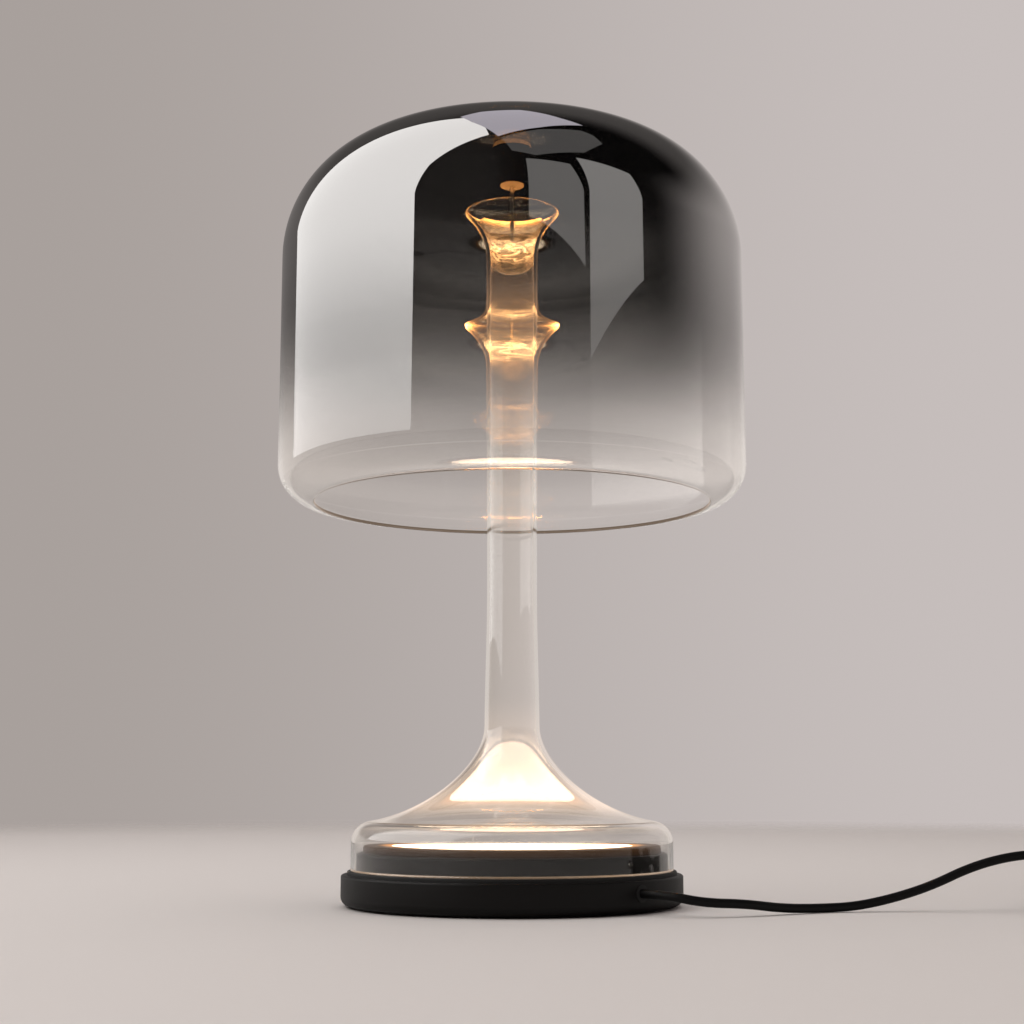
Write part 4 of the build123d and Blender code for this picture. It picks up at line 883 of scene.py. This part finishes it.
def make_world():
    world = bpy.data.worlds.new("studio")
    world.use_nodes = True
    tree = world.node_tree
    tree.nodes.clear()
    way = add(tree, "ShaderNodeTexCoord").outputs["Generated"]
    axes = add(tree, "ShaderNodeSeparateXYZ", {"Vector": way})
    across = add(tree, "ShaderNodeMapRange", {
        "Value": axes.outputs["X"], "From Min": -0.3, "From Max": 0.3,
    }, interpolation_type="SMOOTHSTEP").outputs["Result"]
    backdrop = add(tree, "ShaderNodeMix", {
        "Factor": across, 6: linear("#A8A09C"), 7: linear("#C6BEBC"),
    }, data_type="RGBA").outputs[2]
    near = add(tree, "ShaderNodeMix", {
        "Factor": across, 6: linear("#2E2B29"), 7: linear("#080707"),
    }, data_type="RGBA").outputs[2]
    far = add(tree, "ShaderNodeMix", {
        "Factor": across, 6: linear("#807B79"), 7: linear("#CEC6C3"),
    }, data_type="RGBA").outputs[2]
    behind = add(tree, "ShaderNodeMapRange", {
        "Value": axes.outputs["Y"], "From Min": -0.28, "From Max": 0.6,
    }, interpolation_type="SMOOTHSTEP").outputs["Result"]
    around = add(tree, "ShaderNodeMix", {
        "Factor": behind, 6: near, 7: far,
    }, data_type="RGBA").outputs[2]
    high = add(tree, "ShaderNodeMapRange", {
        "Value": axes.outputs["Z"], "From Min": 0.36, "From Max": 0.68,
    }, interpolation_type="SMOOTHSTEP").outputs["Result"]
    rear = add(tree, "ShaderNodeMapRange", {
        "Value": axes.outputs["Y"], "From Min": 0.15, "From Max": 0.5,
    }, interpolation_type="SMOOTHSTEP").outputs["Result"]
    upper = add(tree, "ShaderNodeMix", {
        "Factor": rear, 6: near, 7: linear("#5E5A58"),
    }, data_type="RGBA").outputs[2]
    dark = add(tree, "ShaderNodeMix", {
        "Factor": high, 6: around, 7: upper,
    }, data_type="RGBA").outputs[2]
    low = add(tree, "ShaderNodeMapRange", {
        "Value": axes.outputs["Z"], "From Min": 0.15, "From Max": 0.28, "To Min": 1.0, "To Max": 0.0,
    }, interpolation_type="SMOOTHSTEP").outputs["Result"]
    studio = add(tree, "ShaderNodeMix", {
        "Factor": low, 6: dark, 7: linear("#CFC8C3"),
    }, data_type="RGBA").outputs[2]
    path = add(tree, "ShaderNodeLightPath").outputs
    mirrored = add(tree, "ShaderNodeMath", {
        0: path["Glossy Depth"], 1: 0.5,
    }, operation="GREATER_THAN").outputs[0]
    colour = add(tree, "ShaderNodeMix", {
        "Factor": mirrored, 6: backdrop, 7: studio,
    }, data_type="RGBA").outputs[2]
    level = add(tree, "ShaderNodeMapRange", {
        "Value": path["Is Diffuse Ray"], "To Min": 1.0, "To Max": 0.85,
    }).outputs["Result"]
    back = add(tree, "ShaderNodeBackground", {"Color": colour, "Strength": level})
    add(tree, "ShaderNodeOutputWorld", {"Surface": back.outputs["Background"]})
    scene.world = world


make_world()


# Softboxes, which show in mirrors alone

def softbox(name, corners, colour, strength):
    """A glowing panel between its corners, in metres, that is clear to every ray not yet mirrored."""
    material, tree = new_material(name)
    glow = add(tree, "ShaderNodeEmission", {
        "Color": linear(colour), "Strength": strength,
    }).outputs["Emission"]
    clear = add(tree, "ShaderNodeBsdfTransparent").outputs["BSDF"]
    depth = add(tree, "ShaderNodeLightPath").outputs["Glossy Depth"]
    mirrored = add(tree, "ShaderNodeMath", {0: depth, 1: 0.5}, operation="GREATER_THAN").outputs[0]
    shown = add(tree, "ShaderNodeMixShader", {0: mirrored, 1: clear, 2: glow}).outputs["Shader"]
    add(tree, "ShaderNodeOutputMaterial", {"Surface": shown})
    bm = bmesh.new()
    bmesh.ops.contextual_create(bm, geom=[bm.verts.new(corner) for corner in corners])
    mesh = bpy.data.meshes.new(name)
    bm.to_mesh(mesh)
    bm.free()
    mesh.materials.append(material)
    panel = bpy.data.objects.new(name, mesh)
    scene.collection.objects.link(panel)
    panel.visible_camera = False
    panel.visible_diffuse = False
    panel.visible_shadow = False


softbox("softbox_left", [(-0.9, -0.88, 0.25), (-0.9, 0.58, 0.25), (-0.9, 0.74, 1.5), (-0.9, -0.92, 1.5)],
        colour="#FFFCFA", strength=1.95)
softbox("softbox_left_lean", [(-0.9, -0.92, 1.5), (-0.9, 0.74, 1.5), (-0.2, 0.2, 1.85), (-0.2, -0.5, 1.85)],
        colour="#FFFCFA", strength=1.95)
softbox("softbox_right", [(0.9, -1.26, 0.6), (0.9, -0.49, 0.6), (0.9, -0.49, 1.1), (0.9, -1.2, 2.0)],
        colour="#FFFBF8", strength=0.5)
softbox("ceiling_panel", [(-0.12, -0.56, 1.8), (0.2, -0.22, 1.8), (0.46, 0.13, 1.8), (0.28, 0.26, 1.8),
                          (0.04, 0.53, 1.8), (-0.16, 0.49, 1.8), (-0.29, 0.35, 1.8), (-0.26, 0.04, 1.8)],
        colour="#EFE8F4", strength=1.05)
softbox("ceiling_dim", [(-0.1, -0.62, 1.81), (0.2, -0.3, 1.81), (0.5, -0.08, 1.81), (0.62, -0.12, 1.81),
                        (0.8, -0.3, 1.81), (0.8, -0.8, 1.81), (0.3, -1.25, 1.81), (0.0, -1.1, 1.81)],
        colour="#FFFBF8", strength=0.16)
softbox("wall_panel", [(0.2, -1.5, 0.85), (1.0, -1.5, 0.85), (0.9, -1.5, 1.9), (0.2, -1.5, 1.9)],
        colour="#FFFBF8", strength=0.3)


# Lamps, which only light the table and the object and show in no mirror

LAMP_AIM = Vector((0, 0, 0.15))    # in metres, low on the stem


def soft_lamp(name, place, size, energy):
    """A square lamp, its place and size in metres, aimed at the object."""
    lamp = bpy.data.objects.new(name, bpy.data.lights.new(name, "AREA"))
    lamp.data.size = size
    lamp.data.energy = energy
    lamp.location = place
    lamp.rotation_euler = (LAMP_AIM - lamp.location).to_track_quat("-Z", "Y").to_euler()
    lamp.visible_glossy = False
    lamp.visible_camera = False
    lamp.visible_transmission = False
    scene.collection.objects.link(lamp)


soft_lamp("fill_above", (0, 0.7, 2.1), size=1.8, energy=14)
soft_lamp("key_left", (-1.3, -0.6, 1.5), size=1.2, energy=14)

# The glass casts no shadow, since without caustics it would be a dark one
for piece in (dome, stem):
    piece.visible_shadow = False

scene.view_settings.view_transform = "Standard"
scene.cycles.max_bounces = 32
scene.cycles.transmission_bounces = 32
scene.cycles.glossy_bounces = 12
scene.cycles.transparent_max_bounces = 16
scene.cycles.caustics_reflective = False
scene.cycles.caustics_refractive = False
scene.cycles.use_denoising = True
scene.cycles.sampling_pattern = "TABULATED_SOBOL"
